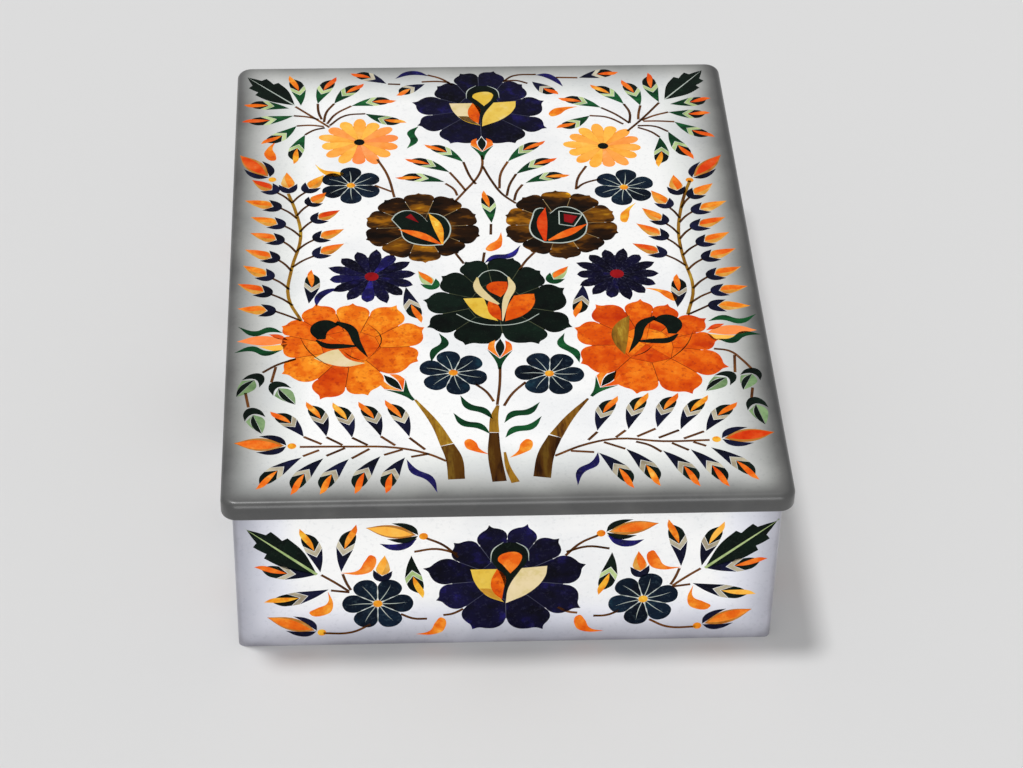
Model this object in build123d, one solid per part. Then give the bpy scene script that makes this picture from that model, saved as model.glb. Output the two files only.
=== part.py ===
from build123d import *
import math
import os

# Driving sizes, in millimetres.
LID_WIDTH = 158.0
LID_DEPTH = 216.0
LID_THICK = 6.0
LID_OVERHANG = 3.0
BODY_HEIGHT = 50.5
WALL_THICK = 6.5
BASE_THICK = 6.0

# The plate glued under the lid drops between the walls with this gap on each side.
PLATE_THICK = 4.0
PLATE_GAP = 1.0

# Rounded and eased edges of the marble.
LID_CORNER_ROUND = 4.5
LID_TOP_CHAMFER = 1.2
LID_LOWER_CHAMFER = 0.6
WALL_CORNER_ROUND = 2.0
WALL_FOOT_CHAMFER = 0.8

# Each inlaid stone sits in a pocket, with a line of glue all round and under it.
STONE_DEPTH = 2.0
GLUE_LINE = 0.1

# Widths of the small motifs.
FAN_BUD_WIDTH = 5.0
SPRAY_BUD_WIDTH = 5.6
ROW_BUD_WIDTH = 4.6
CROWN_BUD_WIDTH = 4.4
CURL_WIDTH = 2.3
COMMA_WIDTH = 3.4
LEAF_WIDTH = 9.4
HANGING_LEAF_WIDTH = 5.4
CALYX_WIDTH = 5.6
WALL_TULIP_WIDTH = 6.4

# Where along its length each sort of bud is widest, and where the fork of its cup starts, as shares.
PLAIN_FORK = (0.44, 0.34)
SPRAY_FORK = (0.32, 0.18)
HANGING_FORK = (0.30, 0.22)
TULIP_FORK = (0.44, 0.14)
CALYX_FORK = (0.66, 0.34)

# A comma is widest at this share of its length.
COMMA_WIDEST = 0.72

# A leaf has this many teeth on each side. Its notches reach in to this share of its width there.
LEAF_TEETH = 2
LEAF_NOTCH = 0.74
FIRST_TOOTH = 0.75
LEAF_POINT = 0.45
LEAF_BULGE = 0.85

# How many petals a flower has, and the radius of its eye.
DAISY_COUNT = 12
BLOSSOM_COUNT = 6
CARNATION_COUNT = 10
PEACH_EYE = 1.7
BLUE_EYE = 2.1
BLOSSOM_EYE = 1.5

# How far out the notches between neighbouring petals reach, as shares of the flower's radius.
ROSE_VALLEY = 0.86
DAISY_VALLEY = 0.80
BLOSSOM_VALLEY = 0.72

# A blunt petal's two shoulders stand this share of a petal's angle to each side of its middle.
PETAL_SHOULDER = 0.25

# How far out a flower's heart reaches, as a share of the notches' reach.
ROSE_HEART = 0.55
CARNATION_HEART = 0.66

# Sizes that follow from the driving ones.
BODY_WIDTH = LID_WIDTH - 2 * LID_OVERHANG
BODY_DEPTH = LID_DEPTH - 2 * LID_OVERHANG
TOTAL_HEIGHT = BODY_HEIGHT + LID_THICK
SIDE_WALL_LENGTH = BODY_DEPTH - 2 * WALL_THICK
CUT_ABOVE = 1.0
NEAR = 0.1
STANDING = (Align.CENTER, Align.CENTER, Align.MIN)

# The panels as the pattern was drawn on them. A pattern is stretched with its panel.
DRAWN_LID = (158.0, 216.0)
DRAWN_END_WALL = (152.0, 50.5)
DRAWN_SIDE_WALL = (197.0, 50.5)

# On a long wall the inner groups move apart by this share of what the outer ones move.
INNER_SPREAD = 0.55


class Panel:
    # One face of the box that carries inlay: outlines are given as (across, up) points.
    def __init__(self, name, plane, size, drawn):
        self.name = name
        self.plane = plane
        self.stretch = (size[0] / drawn[0], size[1] / drawn[1])
        self.pockets = []
        self.stones = {}

    def fit(self, outline):
        points = [(x * self.stretch[0], y * self.stretch[1]) for x, y in outline]
        doubled_area = 0.0
        for (x0, y0), (x1, y1) in zip(points, points[1:] + points[:1]):
            doubled_area += x0 * y1 - x1 * y0
        if doubled_area < 0:
            points.reverse()
        return points

    def pocket(self, outline):
        self.pockets.append(self.fit(outline))

    def stone(self, kind, outline):
        node = f"{self.name}_{kind}"
        self.stones.setdefault(node, []).append(inset(self.fit(outline), GLUE_LINE))

    def set_stone(self, kind, outline):
        # A stone with a pocket of its own.
        self.pocket(outline)
        self.stone(kind, outline)


def inset(points, gap):
    # Moves every edge of a counter-clockwise outline inwards by the gap.
    moved = []
    count = len(points)
    for i in range(count):
        x0, y0 = points[i - 1]
        x1, y1 = points[i]
        x2, y2 = points[(i + 1) % count]
        ax, ay = x1 - x0, y1 - y0
        bx, by = x2 - x1, y2 - y1
        a_length, b_length = math.hypot(ax, ay), math.hypot(bx, by)
        ax, ay = ax / a_length, ay / a_length
        bx, by = bx / b_length, by / b_length
        share = gap / (1 + ax * bx + ay * by)
        moved.append((x1 - share * (ay + by), y1 + share * (ax + bx)))
    return moved


def along(base, tip, bend=0.0):
    # A curved frame from base to tip: share 0 to 1 along it, then millimetres to its left.
    dx, dy = tip[0] - base[0], tip[1] - base[1]
    length = math.hypot(dx, dy)
    left = (-dy / length, dx / length)

    def point(share, aside=0.0):
        aside += bend * 4 * share * (1 - share)
        return (base[0] + share * dx + aside * left[0], base[1] + share * dy + aside * left[1])

    return point


def around(centre, radius, angle):
    return (centre[0] + radius * math.cos(angle), centre[1] + radius * math.sin(angle))


def bud(panel, cups, flames, base, tip, width, bend=0.0, fork=PLAIN_FORK):
    # A forked cup with a flame standing in its fork. Both are widest at the same share of the length.
    wide, notch = fork
    at = along(base, tip, bend)
    right = at(wide, -width / 2)
    left = at(wide, width / 2)
    panel.pocket([base, right, tip, left])
    panel.stone(cups, [base, right, at(notch), left])
    panel.stone(flames, [at(notch), right, tip, left])


def flower(panel, petals, eyes, centre, radius, count, eye_radius, turn, blunt):
    # A ring of equal petals round an eye. Blunt petals have two shoulders and no point.
    step = 2 * math.pi / count
    valley_radius = (BLOSSOM_VALLEY if blunt else DAISY_VALLEY) * radius
    rim = []
    eye = []
    for k in range(count):
        angle = turn + k * step
        inner = [around(centre, eye_radius, angle + side * step / 2) for side in (-1, 1)]
        valley = [around(centre, valley_radius, angle + side * step / 2) for side in (-1, 1)]
        if blunt:
            shoulder = step * PETAL_SHOULDER
            crown = [around(centre, radius, angle + side * shoulder) for side in (-1, 1)]
        else:
            crown = [around(centre, radius, angle)]
        panel.stone(petals, [inner[0], valley[0]] + crown + [valley[1], inner[1]])
        rim += [valley[0]] + crown
        eye.append(inner[0])
    panel.pocket(rim)
    panel.stone(eyes, eye)


def rose(panel, petals, tips, centre, heart_share, throat, heart):
    # A flower of uneven petals, each with a point, round a heart of fanned stones.
    # The heart is a list of (kind, number of petals it spans), starting after the first petal.
    count = len(tips)
    angles = [math.atan2(y - centre[1], x - centre[0]) for x, y in tips]
    radii = [math.hypot(x - centre[0], y - centre[1]) for x, y in tips]
    inner = []
    valley = []
    for k in range(count):
        turn = (angles[(k + 1) % count] - angles[k]) % (2 * math.pi)
        reach = ROSE_VALLEY * min(radii[k], radii[(k + 1) % count])
        middle = angles[k] + turn / 2
        valley.append(around(centre, reach, middle))
        inner.append(around(centre, heart_share * reach, middle))
    rim = []
    for k in range(count):
        panel.stone(petals, [inner[k - 1], valley[k - 1], tips[k], valley[k], inner[k]])
        rim += [valley[k - 1], tips[k]]
    panel.pocket(rim)
    first = 0
    for kind, span in heart:
        panel.stone(kind, [throat] + [inner[(first + i) % count] for i in range(span + 1)])
        first += span


def leaf(panel, kind, base, tip, width):
    # A leaf with saw teeth on both sides.
    at = along(base, tip)

    def half_width(share):
        return width / 2 * math.sin(math.pi * share ** LEAF_BULGE)

    right = []
    left = []
    spaces = LEAF_TEETH + LEAF_POINT
    for i in range(LEAF_TEETH):
        tooth = (i + FIRST_TOOTH) / spaces
        right.append(at(tooth, -half_width(tooth)))
        left.append(at(tooth, half_width(tooth)))
        if i < LEAF_TEETH - 1:
            dip = (i + 1) / spaces
            right.append(at(dip, -LEAF_NOTCH * half_width(dip)))
            left.append(at(dip, LEAF_NOTCH * half_width(dip)))
    panel.set_stone(kind, [base] + right + [tip] + left[::-1])


def comma(panel, kind, tail, head, bend=0.0):
    # A drop: a fine tail that thickens to a blunt head.
    at = along(tail, head, bend)
    right = at(COMMA_WIDEST, -COMMA_WIDTH / 2)
    left = at(COMMA_WIDEST, COMMA_WIDTH / 2)
    panel.set_stone(kind, [tail, right, head, left])


def ribbon(panel, kind, spine, widths):
    # A strip that follows a line of points, with its own width at each one.
    right = []
    left = []
    last = len(spine) - 1
    for i, (x, y) in enumerate(spine):
        x0, y0 = spine[max(i - 1, 0)]
        x1, y1 = spine[min(i + 1, last)]
        length = math.hypot(x1 - x0, y1 - y0)
        aside = (-(y1 - y0) / length * widths[i] / 2, (x1 - x0) / length * widths[i] / 2)
        left.append((x + aside[0], y + aside[1]))
        if widths[i] > 0:
            right.append((x - aside[0], y - aside[1]))
    panel.set_stone(kind, left + right[::-1])


def curl(panel, kind, spine, width=CURL_WIDTH):
    # A curled leaf, pointed at both ends.
    widths = [0.0] + [width] * (len(spine) - 2) + [0.0]
    ribbon(panel, kind, spine, widths)


# The lid's drawing: x to the right and y away from the centre of the lid, in millimetres.
FAN_BUDS = [
    ((-59.0, 85.5), (-62.5, 102.5), -1.0),
    ((-52.8, 86.0), (-47.0, 101.5), 0.0),
    ((-47.5, 86.0), (-38.0, 97.5), -0.8),
    ((-42.0, 84.5), (-27.5, 87.5), -0.8),
    ((-37.5, 80.0), (-24.5, 74.5), 0.8),
    ((-62.0, 83.5), (-76.0, 86.0), 0.0),
    ((-60.5, 79.3), (-77.0, 75.8), -0.8),
    ((-59.5, 73.5), (-70.5, 63.5), -1.0),
    ((-56.8, 68.5), (-60.5, 52.5), 0.0),
    ((57.5, 84.8), (55.0, 102.0), -0.6),
    ((51.3, 83.0), (46.5, 98.0), -0.8),
    ((46.0, 84.0), (36.0, 95.5), 0.8),
    ((38.5, 82.0), (25.0, 88.0), 0.8),
    ((34.5, 77.5), (23.5, 70.5), 0.8),
    ((61.0, 83.6), (74.0, 86.5), 0.0),
    ((60.0, 79.0), (73.0, 78.0), 0.8),
    ((61.5, 73.5), (73.5, 64.5), 0.8),
    ((59.0, 68.0), (65.5, 52.5), 0.6),
    ((56.0, 65.0), (54.5, 48.5), 0.0),
]
SPRAY_BUDS = [
    ((-65.3, 37.6), (-73.0, 44.5)),
    ((-64.0, 29.0), (-74.5, 32.5)),
    ((-62.7, 19.7), (-72.8, 24.0)),
    ((-63.0, 11.7), (-72.6, 15.7)),
    ((-64.3, 2.5), (-74.0, 7.0)),
    ((-66.0, -6.6), (-74.7, -0.5)),
    ((-66.3, -14.3), (-76.0, -10.0)),
    ((-65.0, -22.5), (-76.0, -21.0)),
    ((-56.5, 37.2), (-51.5, 46.0)),
    ((-55.6, 30.3), (-50.8, 36.0)),
    ((-54.4, 22.0), (-46.5, 27.0)),
    ((-53.8, 12.5), (-45.5, 17.2)),
    ((-53.8, 4.3), (-45.3, 10.0)),
    ((59.0, 33.5), (58.5, 43.7)),
    ((62.4, 32.0), (69.9, 38.2)),
    ((62.6, 24.5), (73.5, 29.2)),
    ((61.5, 16.0), (72.0, 21.2)),
    ((62.6, 7.7), (72.0, 13.3)),
    ((63.4, 0.3), (73.5, 5.0)),
    ((64.0, -8.7), (74.0, -4.3)),
    ((64.5, -16.0), (75.0, -14.3)),
    ((63.0, -22.5), (74.5, -23.8)),
    ((55.8, 26.8), (51.4, 35.0)),
    ((54.0, 18.5), (47.8, 26.3)),
    ((53.6, 10.8), (45.5, 18.3)),
    ((52.5, 2.5), (43.5, 8.0)),
]
ROW_BUDS = [
    ((-56.3, -79.7), (-65.7, -68.3), 0.6),
    ((-50.0, -79.7), (-55.5, -64.3), 0.8),
    ((-42.8, -80.4), (-48.0, -64.8), 0.8),
    ((-34.8, -80.0), (-40.7, -64.6), 0.8),
    ((-26.8, -80.4), (-33.2, -64.0), -0.8),
    ((-56.8, -88.5), (-69.5, -101.0), 0.8),
    ((-50.8, -89.0), (-60.0, -104.0), 0.8),
    ((-43.8, -89.5), (-52.0, -103.5), 0.8),
    ((-35.0, -88.5), (-42.5, -104.0), 0.6),
    ((-28.2, -89.2), (-34.0, -104.0), -0.5),
    ((26.0, -79.0), (32.7, -63.8), -0.8),
    ((34.8, -78.6), (41.5, -62.5), -0.8),
    ((43.0, -78.0), (50.0, -62.8), -0.6),
    ((49.5, -79.0), (58.5, -64.0), -0.6),
    ((56.6, -79.8), (66.5, -67.3), -0.6),
    ((25.8, -88.5), (34.7, -103.5), 0.4),
    ((33.5, -87.0), (42.0, -102.8), 0.8),
    ((43.7, -88.0), (53.0, -103.2), 0.4),
    ((51.5, -87.7), (61.0, -103.5), 0.4),
    ((57.3, -87.0), (69.5, -100.8), 0.8),
]
CROWN_BUDS = [
    ((-7.0, 52.5), (-19.0, 62.5), 1.0),
    ((-11.5, 47.0), (-25.3, 54.8), 1.0),
    ((-13.2, 41.8), (-28.5, 44.6), 1.4),
    ((7.0, 52.5), (19.3, 63.8), -1.0),
    ((9.3, 45.7), (22.5, 54.3), -1.0),
    ((12.0, 40.8), (26.0, 45.0), -1.2),
    ((-18.0, 96.7), (-27.5, 90.5), 0.4),
    ((-30.5, 97.2), (-42.0, 103.6), 1.0),
    ((17.0, 97.5), (25.0, 89.7), 0.6),
    ((32.5, 99.5), (45.5, 102.8), -0.4),
    ((0.5, 20.0), (-1.0, 37.0), -0.6),
    ((-55.2, -19.0), (-54.2, -2.5), 0.0),
    ((53.7, -23.2), (55.2, -7.0), 0.0),
    ((-25.8, -13.8), (-22.4, -29.0), 0.0),
    ((25.6, -12.6), (23.4, -27.5), 0.0),
    ((-17.6, -12.6), (-22.2, -5.0), 0.0),
    ((16.6, -10.4), (21.8, -3.4), 0.0),
]
HANGING_LEAVES = [
    ((-68.8, -51.8), (-75.6, -61.8)),
    ((-65.3, -55.6), (-58.7, -65.6)),
    ((-71.5, -67.0), (-68.0, -78.2)),
    ((73.5, -52.5), (69.0, -62.0)),
    ((67.0, -54.3), (58.3, -62.2)),
    ((71.4, -65.5), (73.6, -77.5)),
]
TULIP_BUDS = [
    ((-67.0, 46.5), (-77.5, 58.0), 8.0),
    ((64.6, 42.3), (74.2, 54.2), 6.5),
    ((-60.8, -83.5), (-75.5, -82.0), 7.6),
    ((60.2, -83.3), (75.5, -80.8), 7.6),
    ((-61.8, -37.6), (-75.5, -36.0), 6.0),
    ((60.8, -35.6), (75.2, -32.0), 5.5),
]
GREEN_CURLS = [
    [(-20.6, 72.6), (-23.1, 69.0), (-22.2, 64.5), (-24.6, 60.2)],
    [(-17.2, -35.0), (-16.0, -39.0), (-18.8, -42.6), (-19.8, -46.0)],
    [(19.5, -36.2), (18.4, -40.0), (22.2, -44.0), (23.0, -47.6)],
    [(-11.4, -63.5), (-9.8, -67.4), (-5.4, -69.6), (-3.8, -73.0)],
    [(-13.6, -71.2), (-11.4, -74.8), (-7.0, -76.2), (-4.8, -79.6)],
    [(9.8, -66.6), (7.2, -70.2), (2.6, -71.2), (0.4, -74.6)],
    [(9.8, -73.2), (7.4, -76.8), (2.6, -78.0), (0.6, -81.2)],
    [(-74.3, -31.2), (-70.5, -33.2), (-66.5, -31.6), (-63.8, -32.6)],
    [(-75.5, -40.6), (-71.5, -40.0), (-67.5, -42.2), (-64.0, -41.6)],
    [(75.2, -28.0), (71.0, -29.6), (66.5, -28.6), (63.0, -30.2)],
    [(76.0, -36.6), (72.0, -36.0), (68.0, -38.6), (64.8, -39.0)],
]
BLUE_CURLS = [
    [(8.0, 6.4), (5.6, 3.0), (1.0, 1.8), (-2.2, 0.6)],
    [(-47.8, -13.4), (-50.4, -13.8), (-52.0, -16.2), (-52.6, -20.0)],
    [(-27.4, -91.0), (-25.8, -95.0), (-21.6, -98.2), (-20.0, -103.4)],
    [(25.0, -89.0), (24.6, -92.6), (20.2, -96.2), (19.2, -101.2)],
    [(-27.2, 100.2), (-23.8, 102.6), (-20.4, 103.2), (-17.0, 101.8)],
    [(18.8, 100.8), (21.2, 100.9), (24.0, 98.8), (26.6, 95.0)],
]
COMMAS = [
    ((-66.0, 64.5), (-66.2, 54.8), 1.2),
    ((-56.3, 52.8), (-45.6, 47.6), 0.8),
    ((30.0, 82.2), (21.8, 77.6), 0.8),
    ((44.3, 28.6), (41.2, 19.6), -0.8),
    ((3.0, 14.2), (-2.0, 5.6), 0.6),
    ((53.0, -20.4), (47.0, -13.4), 0.8),
    ((-4.9, -88.0), (-11.2, -82.2), 0.8),
    ((0.9, -90.0), (6.6, -82.2), -0.8),
]
TRUNKS = [
    ([(-1.8, -67.4), (-2.6, -72.0), (-3.0, -79.0)], [1.2, 2.2, 2.8]),
    ([(-3.0, -79.4), (-2.9, -88.0), (-2.2, -99.9)], [2.6, 3.4, 3.6]),
    ([(-0.2, -88.0), (0.4, -94.0), (1.4, -100.6)], [0.9, 1.6, 2.2]),
    ([(-24.8, -64.4), (-19.6, -75.0), (-16.6, -84.0)], [0.8, 2.2, 3.4]),
    ([(-16.4, -84.4), (-14.8, -90.0), (-14.4, -98.7)], [3.6, 4.4, 4.6]),
    ([(24.2, -65.2), (18.6, -73.0), (14.2, -81.0)], [0.8, 2.4, 3.6]),
    ([(14.0, -81.4), (11.2, -89.0), (9.4, -98.4)], [3.6, 4.6, 4.8]),
]
CORNER_LEAVES = [((-61.9, 88.0), (-75.2, 102.2)), ((61.0, 88.2), (72.8, 103.0))]


def draw_lid(panel):
    for base, tip in CORNER_LEAVES:
        leaf(panel, "corner_leaves", base, tip, LEAF_WIDTH)
    for base, tip, bend in FAN_BUDS:
        bud(panel, "green_bud_cups", "green_bud_flames", base, tip, FAN_BUD_WIDTH, bend)
    for base, tip in SPRAY_BUDS:
        bud(panel, "spray_bud_cups", "spray_bud_flames", base, tip, SPRAY_BUD_WIDTH,
            fork=SPRAY_FORK)
    for base, tip, bend in ROW_BUDS:
        bud(panel, "row_bud_cups", "row_bud_flames", base, tip, ROW_BUD_WIDTH, bend)
    for base, tip, bend in CROWN_BUDS:
        bud(panel, "green_bud_cups", "green_bud_flames", base, tip, CROWN_BUD_WIDTH, bend)
    for base, tip in HANGING_LEAVES:
        bud(panel, "hanging_leaves", "hanging_leaves", base, tip, HANGING_LEAF_WIDTH,
            fork=HANGING_FORK)
    for base, tip, width in TULIP_BUDS:
        bud(panel, "tulip_sepals", "tulip_flames", base, tip, width, fork=TULIP_FORK)
    for spine in GREEN_CURLS:
        curl(panel, "green_curls", spine)
    for spine in BLUE_CURLS:
        curl(panel, "blue_curls", spine)
    for tail, head, bend in COMMAS:
        comma(panel, "commas", tail, head, bend)
    for spine, widths in TRUNKS:
        ribbon(panel, "trunks", spine, widths)
    for centre, radius, turn in [((-39.6, 64.0), 12.6, 0.1), ((37.6, 60.4), 12.2, 0.1)]:
        flower(panel, "peach_daisy_petals", "flower_eyes", centre, radius, DAISY_COUNT, PEACH_EYE,
               turn, False)
    for centre, radius, turn in [((-36.8, -6.6), 12.8, 0.0), ((37.0, -6.4), 12.6, 0.0)]:
        flower(panel, "blue_daisy_petals", "flower_eyes", centre, radius, DAISY_COUNT, BLUE_EYE,
               turn, False)
    blossoms = [
        ((-42.4, 40.6), 9.4, 90),
        ((42.5, 37.9), 9.4, 60),
        ((-13.6, -52.3), 9.8, 40),
        ((14.0, -53.3), 9.8, 55),
    ]
    for centre, radius, turn in blossoms:
        flower(panel, "blossom_petals", "flower_eyes", centre, radius, BLOSSOM_COUNT, BLOSSOM_EYE,
               math.radians(turn), True)
    draw_lid_roses(panel)


def draw_lid_roses(panel):
    top_rose = [
        (20.4, 85.6), (13.8, 95.6), (4.6, 103.2), (-6.4, 102.0), (-14.6, 95.6),
        (-22.8, 85.2), (-20.8, 73.4), (-11.4, 61.8), (9.6, 61.4), (20.0, 70.0),
    ]
    rose(panel, "top_rose_petals", top_rose, (-0.8, 82.0), ROSE_HEART, (-0.8, 72.8),
         [("rose_hearts", 2), ("rose_centres", 2), ("rose_hearts", 2), ("rose_centres", 4)])
    centre_rose = [
        (19.8, -14.0), (13.6, -5.4), (6.2, -1.2), (-8.6, -1.2), (-15.6, -7.4),
        (-21.2, -19.2), (-20.6, -32.0), (-10.0, -40.2), (11.4, -40.2), (21.6, -33.0),
    ]
    rose(panel, "centre_rose_petals", centre_rose, (0.4, -20.0), ROSE_HEART, (0.8, -29.4),
         [("rose_hearts", 2), ("rose_centres", 2), ("rose_hearts", 2), ("rose_centres", 4)])
    side_roses = [
        ([(-22.0, -33.0), (-30.0, -20.6), (-43.0, -19.8), (-53.6, -20.4), (-62.6, -31.6),
          (-63.0, -42.4), (-62.8, -53.0), (-52.2, -64.0), (-38.4, -62.6), (-24.0, -48.2)],
         (-42.6, -40.6), (-38.4, -46.6)),
        ([(65.4, -51.0), (63.6, -38.6), (61.4, -29.6), (51.0, -22.4), (43.0, -19.8),
          (30.0, -22.2), (22.8, -32.8), (24.0, -48.6), (38.4, -62.0), (54.0, -62.6)],
         (42.8, -40.6), (37.6, -46.8)),
    ]
    for tips, centre, throat in side_roses:
        rose(panel, "side_rose_petals", tips, centre, ROSE_HEART, throat,
             [("rose_flames", 3), ("side_rose_loops", 3), ("rose_flames", 4)])
    carnations = [
        ((-20.6, 18.6), 17.0, 20, (-16.6, 11.4)),
        ((21.6, 19.2), 17.0, 20, (18.0, 11.8)),
    ]
    for centre, radius, turn, throat in carnations:
        step = 2 * math.pi / CARNATION_COUNT
        tips = [around(centre, radius, math.radians(turn) + step * k) for k in range(CARNATION_COUNT)]
        rose(panel, "carnation_petals", tips, centre, CARNATION_HEART, throat,
             [("rose_centres", 2), ("rose_flames", 2), ("rose_centres", 3), ("rose_flames", 3)])
    calyxes = [
        ((-26.0, -63.0), (-29.8, -55.2)),
        ((26.0, -62.6), (29.8, -55.0)),
        ((-0.2, -52.0), (0.4, -39.8)),
        ((-0.8, 53.0), (-0.8, 61.8)),
    ]
    for base, tip in calyxes:
        bud(panel, "green_bud_cups", "green_bud_flames", base, tip, CALYX_WIDTH, fork=CALYX_FORK)


def draw_wall(panel, spread):
    # Front wall's drawing: x to the right of the middle and z above the foot of the wall.
    # A longer wall has the same pattern with its groups moved apart.
    petals = [
        (22.0, 29.6), (14.6, 39.4), (5.6, 45.0), (-5.6, 44.8), (-15.4, 38.4),
        (-23.6, 29.2), (-19.8, 16.8), (-9.6, 5.4), (10.4, 5.0), (20.8, 12.8),
    ]
    rose(panel, "rose_petals", petals, (-0.6, 24.4), ROSE_HEART, (-0.8, 15.8),
         [("hearts", 2), ("rose_petals", 2), ("hearts", 2), ("rose_petals", 4)])
    for side in (-1, 1):
        outer = side * spread
        inner = outer * INNER_SPREAD

        def spot(x, z, shift):
            return (side * x + shift, z)

        flower(panel, "blossom_petals", "hearts", spot(37.8, 15.8, inner), 9.6, BLOSSOM_COUNT,
               BLOSSOM_EYE, math.radians(60), True)
        leaf(panel, "leaves", spot(57.6, 31.8, outer), spot(72.8, 45.4, outer), LEAF_WIDTH)
        for base, tip, bend, shift in [
            ((53.6, 29.4), (58.4, 45.4), 0.6, outer),
            ((48.0, 28.6), (43.0, 45.6), -0.8, outer),
            ((56.4, 26.8), (71.6, 30.0), 0.4, outer),
            ((52.2, 21.8), (68.6, 17.0), 0.8, outer),
            ((29.6, 31.6), (27.4, 15.6), -0.6, inner),
        ]:
            bud(panel, "bud_cups", "bud_flames", spot(*base, shift), spot(*tip, shift),
                ROW_BUD_WIDTH, side * bend)
        for base, tip, shift in [
            ((54.6, 5.2), (68.4, 11.0), outer),
            ((25.8, 41.6), (40.0, 44.6), inner),
        ]:
            bud(panel, "bud_cups", "bud_flames", spot(*base, shift), spot(*tip, shift),
                WALL_TULIP_WIDTH, fork=TULIP_FORK)
        for tail, head, bend, shift in [
            ((47.4, 27.6), (39.6, 33.2), 1.0, outer),
            ((28.4, 3.4), (20.6, 8.6), 0.8, inner),
        ]:
            comma(panel, "bud_flames", spot(*tail, shift), spot(*head, shift), side * bend)


def prism(plane, outline, low, high):
    corners = [plane.from_local_coords((x, y, low)) for x, y in outline]
    face = Face(Wire.make_polygon(corners))
    return Solid.extrude(face, plane.z_dir * (high - low))


def cut_pockets(slab, panel):
    depth = STONE_DEPTH + GLUE_LINE
    cutters = [prism(panel.plane, outline, -depth, CUT_ABOVE) for outline in panel.pockets]
    return slab - cutters


def set_stones(panel):
    nodes = {}
    for node, outlines in panel.stones.items():
        nodes[node] = [prism(panel.plane, outline, -STONE_DEPTH, 0) for outline in outlines]
    return nodes


def make_lid_slab():
    slab = extrude(RectangleRounded(LID_WIDTH, LID_DEPTH, LID_CORNER_ROUND), LID_THICK)
    slab = chamfer(slab.edges().group_by(Axis.Z)[-1], LID_TOP_CHAMFER)
    slab = chamfer(slab.edges().group_by(Axis.Z)[0], LID_LOWER_CHAMFER)
    return Pos(0, 0, BODY_HEIGHT) * slab


def make_lid_plate():
    width = BODY_WIDTH - 2 * (WALL_THICK + PLATE_GAP)
    depth = BODY_DEPTH - 2 * (WALL_THICK + PLATE_GAP)
    plate = extrude(RectangleRounded(width, depth, PLATE_GAP), PLATE_THICK)
    return Pos(0, 0, BODY_HEIGHT - PLATE_THICK) * plate


def make_end_wall(side):
    # Front (side -1) or back (side 1): runs the full width, with rounded outer corners and an eased foot.
    outer_y = side * BODY_DEPTH / 2
    inner_y = outer_y - side * WALL_THICK
    block = Box(BODY_WIDTH, WALL_THICK, BODY_HEIGHT, align=STANDING)
    wall = Pos(0, (outer_y + inner_y) / 2, 0) * block
    upright = wall.edges().filter_by(Axis.Z)
    corners = upright.filter_by(lambda edge: abs(edge.center().Y - outer_y) < NEAR)
    wall = fillet(corners, WALL_CORNER_ROUND)
    lowest = wall.edges().group_by(Axis.Z)[0]
    foot = lowest.filter_by(lambda edge: abs(edge.center().Y - inner_y) > NEAR)
    return chamfer(foot, WALL_FOOT_CHAMFER)


def make_side_wall(side):
    # Left (side -1) or right (side 1): stands between the front and back walls.
    outer_x = side * BODY_WIDTH / 2
    block = Box(WALL_THICK, SIDE_WALL_LENGTH, BODY_HEIGHT, align=STANDING)
    wall = Pos(outer_x - side * WALL_THICK / 2, 0, 0) * block
    lowest = wall.edges().group_by(Axis.Z)[0]
    foot = lowest.filter_by(lambda edge: abs(edge.center().X - outer_x) < NEAR)
    return chamfer(foot, WALL_FOOT_CHAMFER)


def make_base():
    # Lies between the four walls, level with their feet.
    width = BODY_WIDTH - 2 * WALL_THICK
    return Box(width, SIDE_WALL_LENGTH, BASE_THICK, align=STANDING)


def make_panels():
    # Each panel's plane has x to the viewer's right, y up and z out of the marble.
    half_width = BODY_WIDTH / 2
    half_depth = BODY_DEPTH / 2
    end_size = (BODY_WIDTH, BODY_HEIGHT)
    side_size = (SIDE_WALL_LENGTH, BODY_HEIGHT)
    lid_plane = Plane((0, 0, TOTAL_HEIGHT), (1, 0, 0), (0, 0, 1))
    front_plane = Plane((0, -half_depth, 0), (1, 0, 0), (0, -1, 0))
    back_plane = Plane((0, half_depth, 0), (-1, 0, 0), (0, 1, 0))
    left_plane = Plane((-half_width, 0, 0), (0, -1, 0), (-1, 0, 0))
    right_plane = Plane((half_width, 0, 0), (0, 1, 0), (1, 0, 0))
    lid = Panel("lid", lid_plane, (LID_WIDTH, LID_DEPTH), DRAWN_LID)
    front = Panel("front", front_plane, end_size, DRAWN_END_WALL)
    back = Panel("back", back_plane, end_size, DRAWN_END_WALL)
    left = Panel("left", left_plane, side_size, DRAWN_SIDE_WALL)
    right = Panel("right", right_plane, side_size, DRAWN_SIDE_WALL)
    draw_lid(lid)
    draw_wall(front, 0.0)
    draw_wall(back, 0.0)
    spread = (DRAWN_SIDE_WALL[0] - DRAWN_END_WALL[0]) / 2
    draw_wall(left, spread)
    draw_wall(right, spread)
    return {"lid": lid, "front": front, "back": back, "left": left, "right": right}


def make_box():
    panels = make_panels()
    nodes = {
        "base_slab": [make_base()],
        "front_wall": [cut_pockets(make_end_wall(-1), panels["front"])],
        "back_wall": [cut_pockets(make_end_wall(1), panels["back"])],
        "left_wall": [cut_pockets(make_side_wall(-1), panels["left"])],
        "right_wall": [cut_pockets(make_side_wall(1), panels["right"])],
        "lid_slab": [cut_pockets(make_lid_slab(), panels["lid"])],
        "lid_locating_plate": [make_lid_plate()],
    }
    for panel in panels.values():
        nodes.update(set_stones(panel))
    return nodes


def export(nodes):
    os.makedirs("parts", exist_ok=True)
    for node, solids in nodes.items():
        shape = solids[0] if len(solids) == 1 else Compound(children=solids)
        export_step(shape, f"parts/{node}.step")


if __name__ == "__main__":
    export(make_box())
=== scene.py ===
import math
import random

import bmesh
import bpy
from mathutils import Euler, Matrix, Vector


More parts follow.
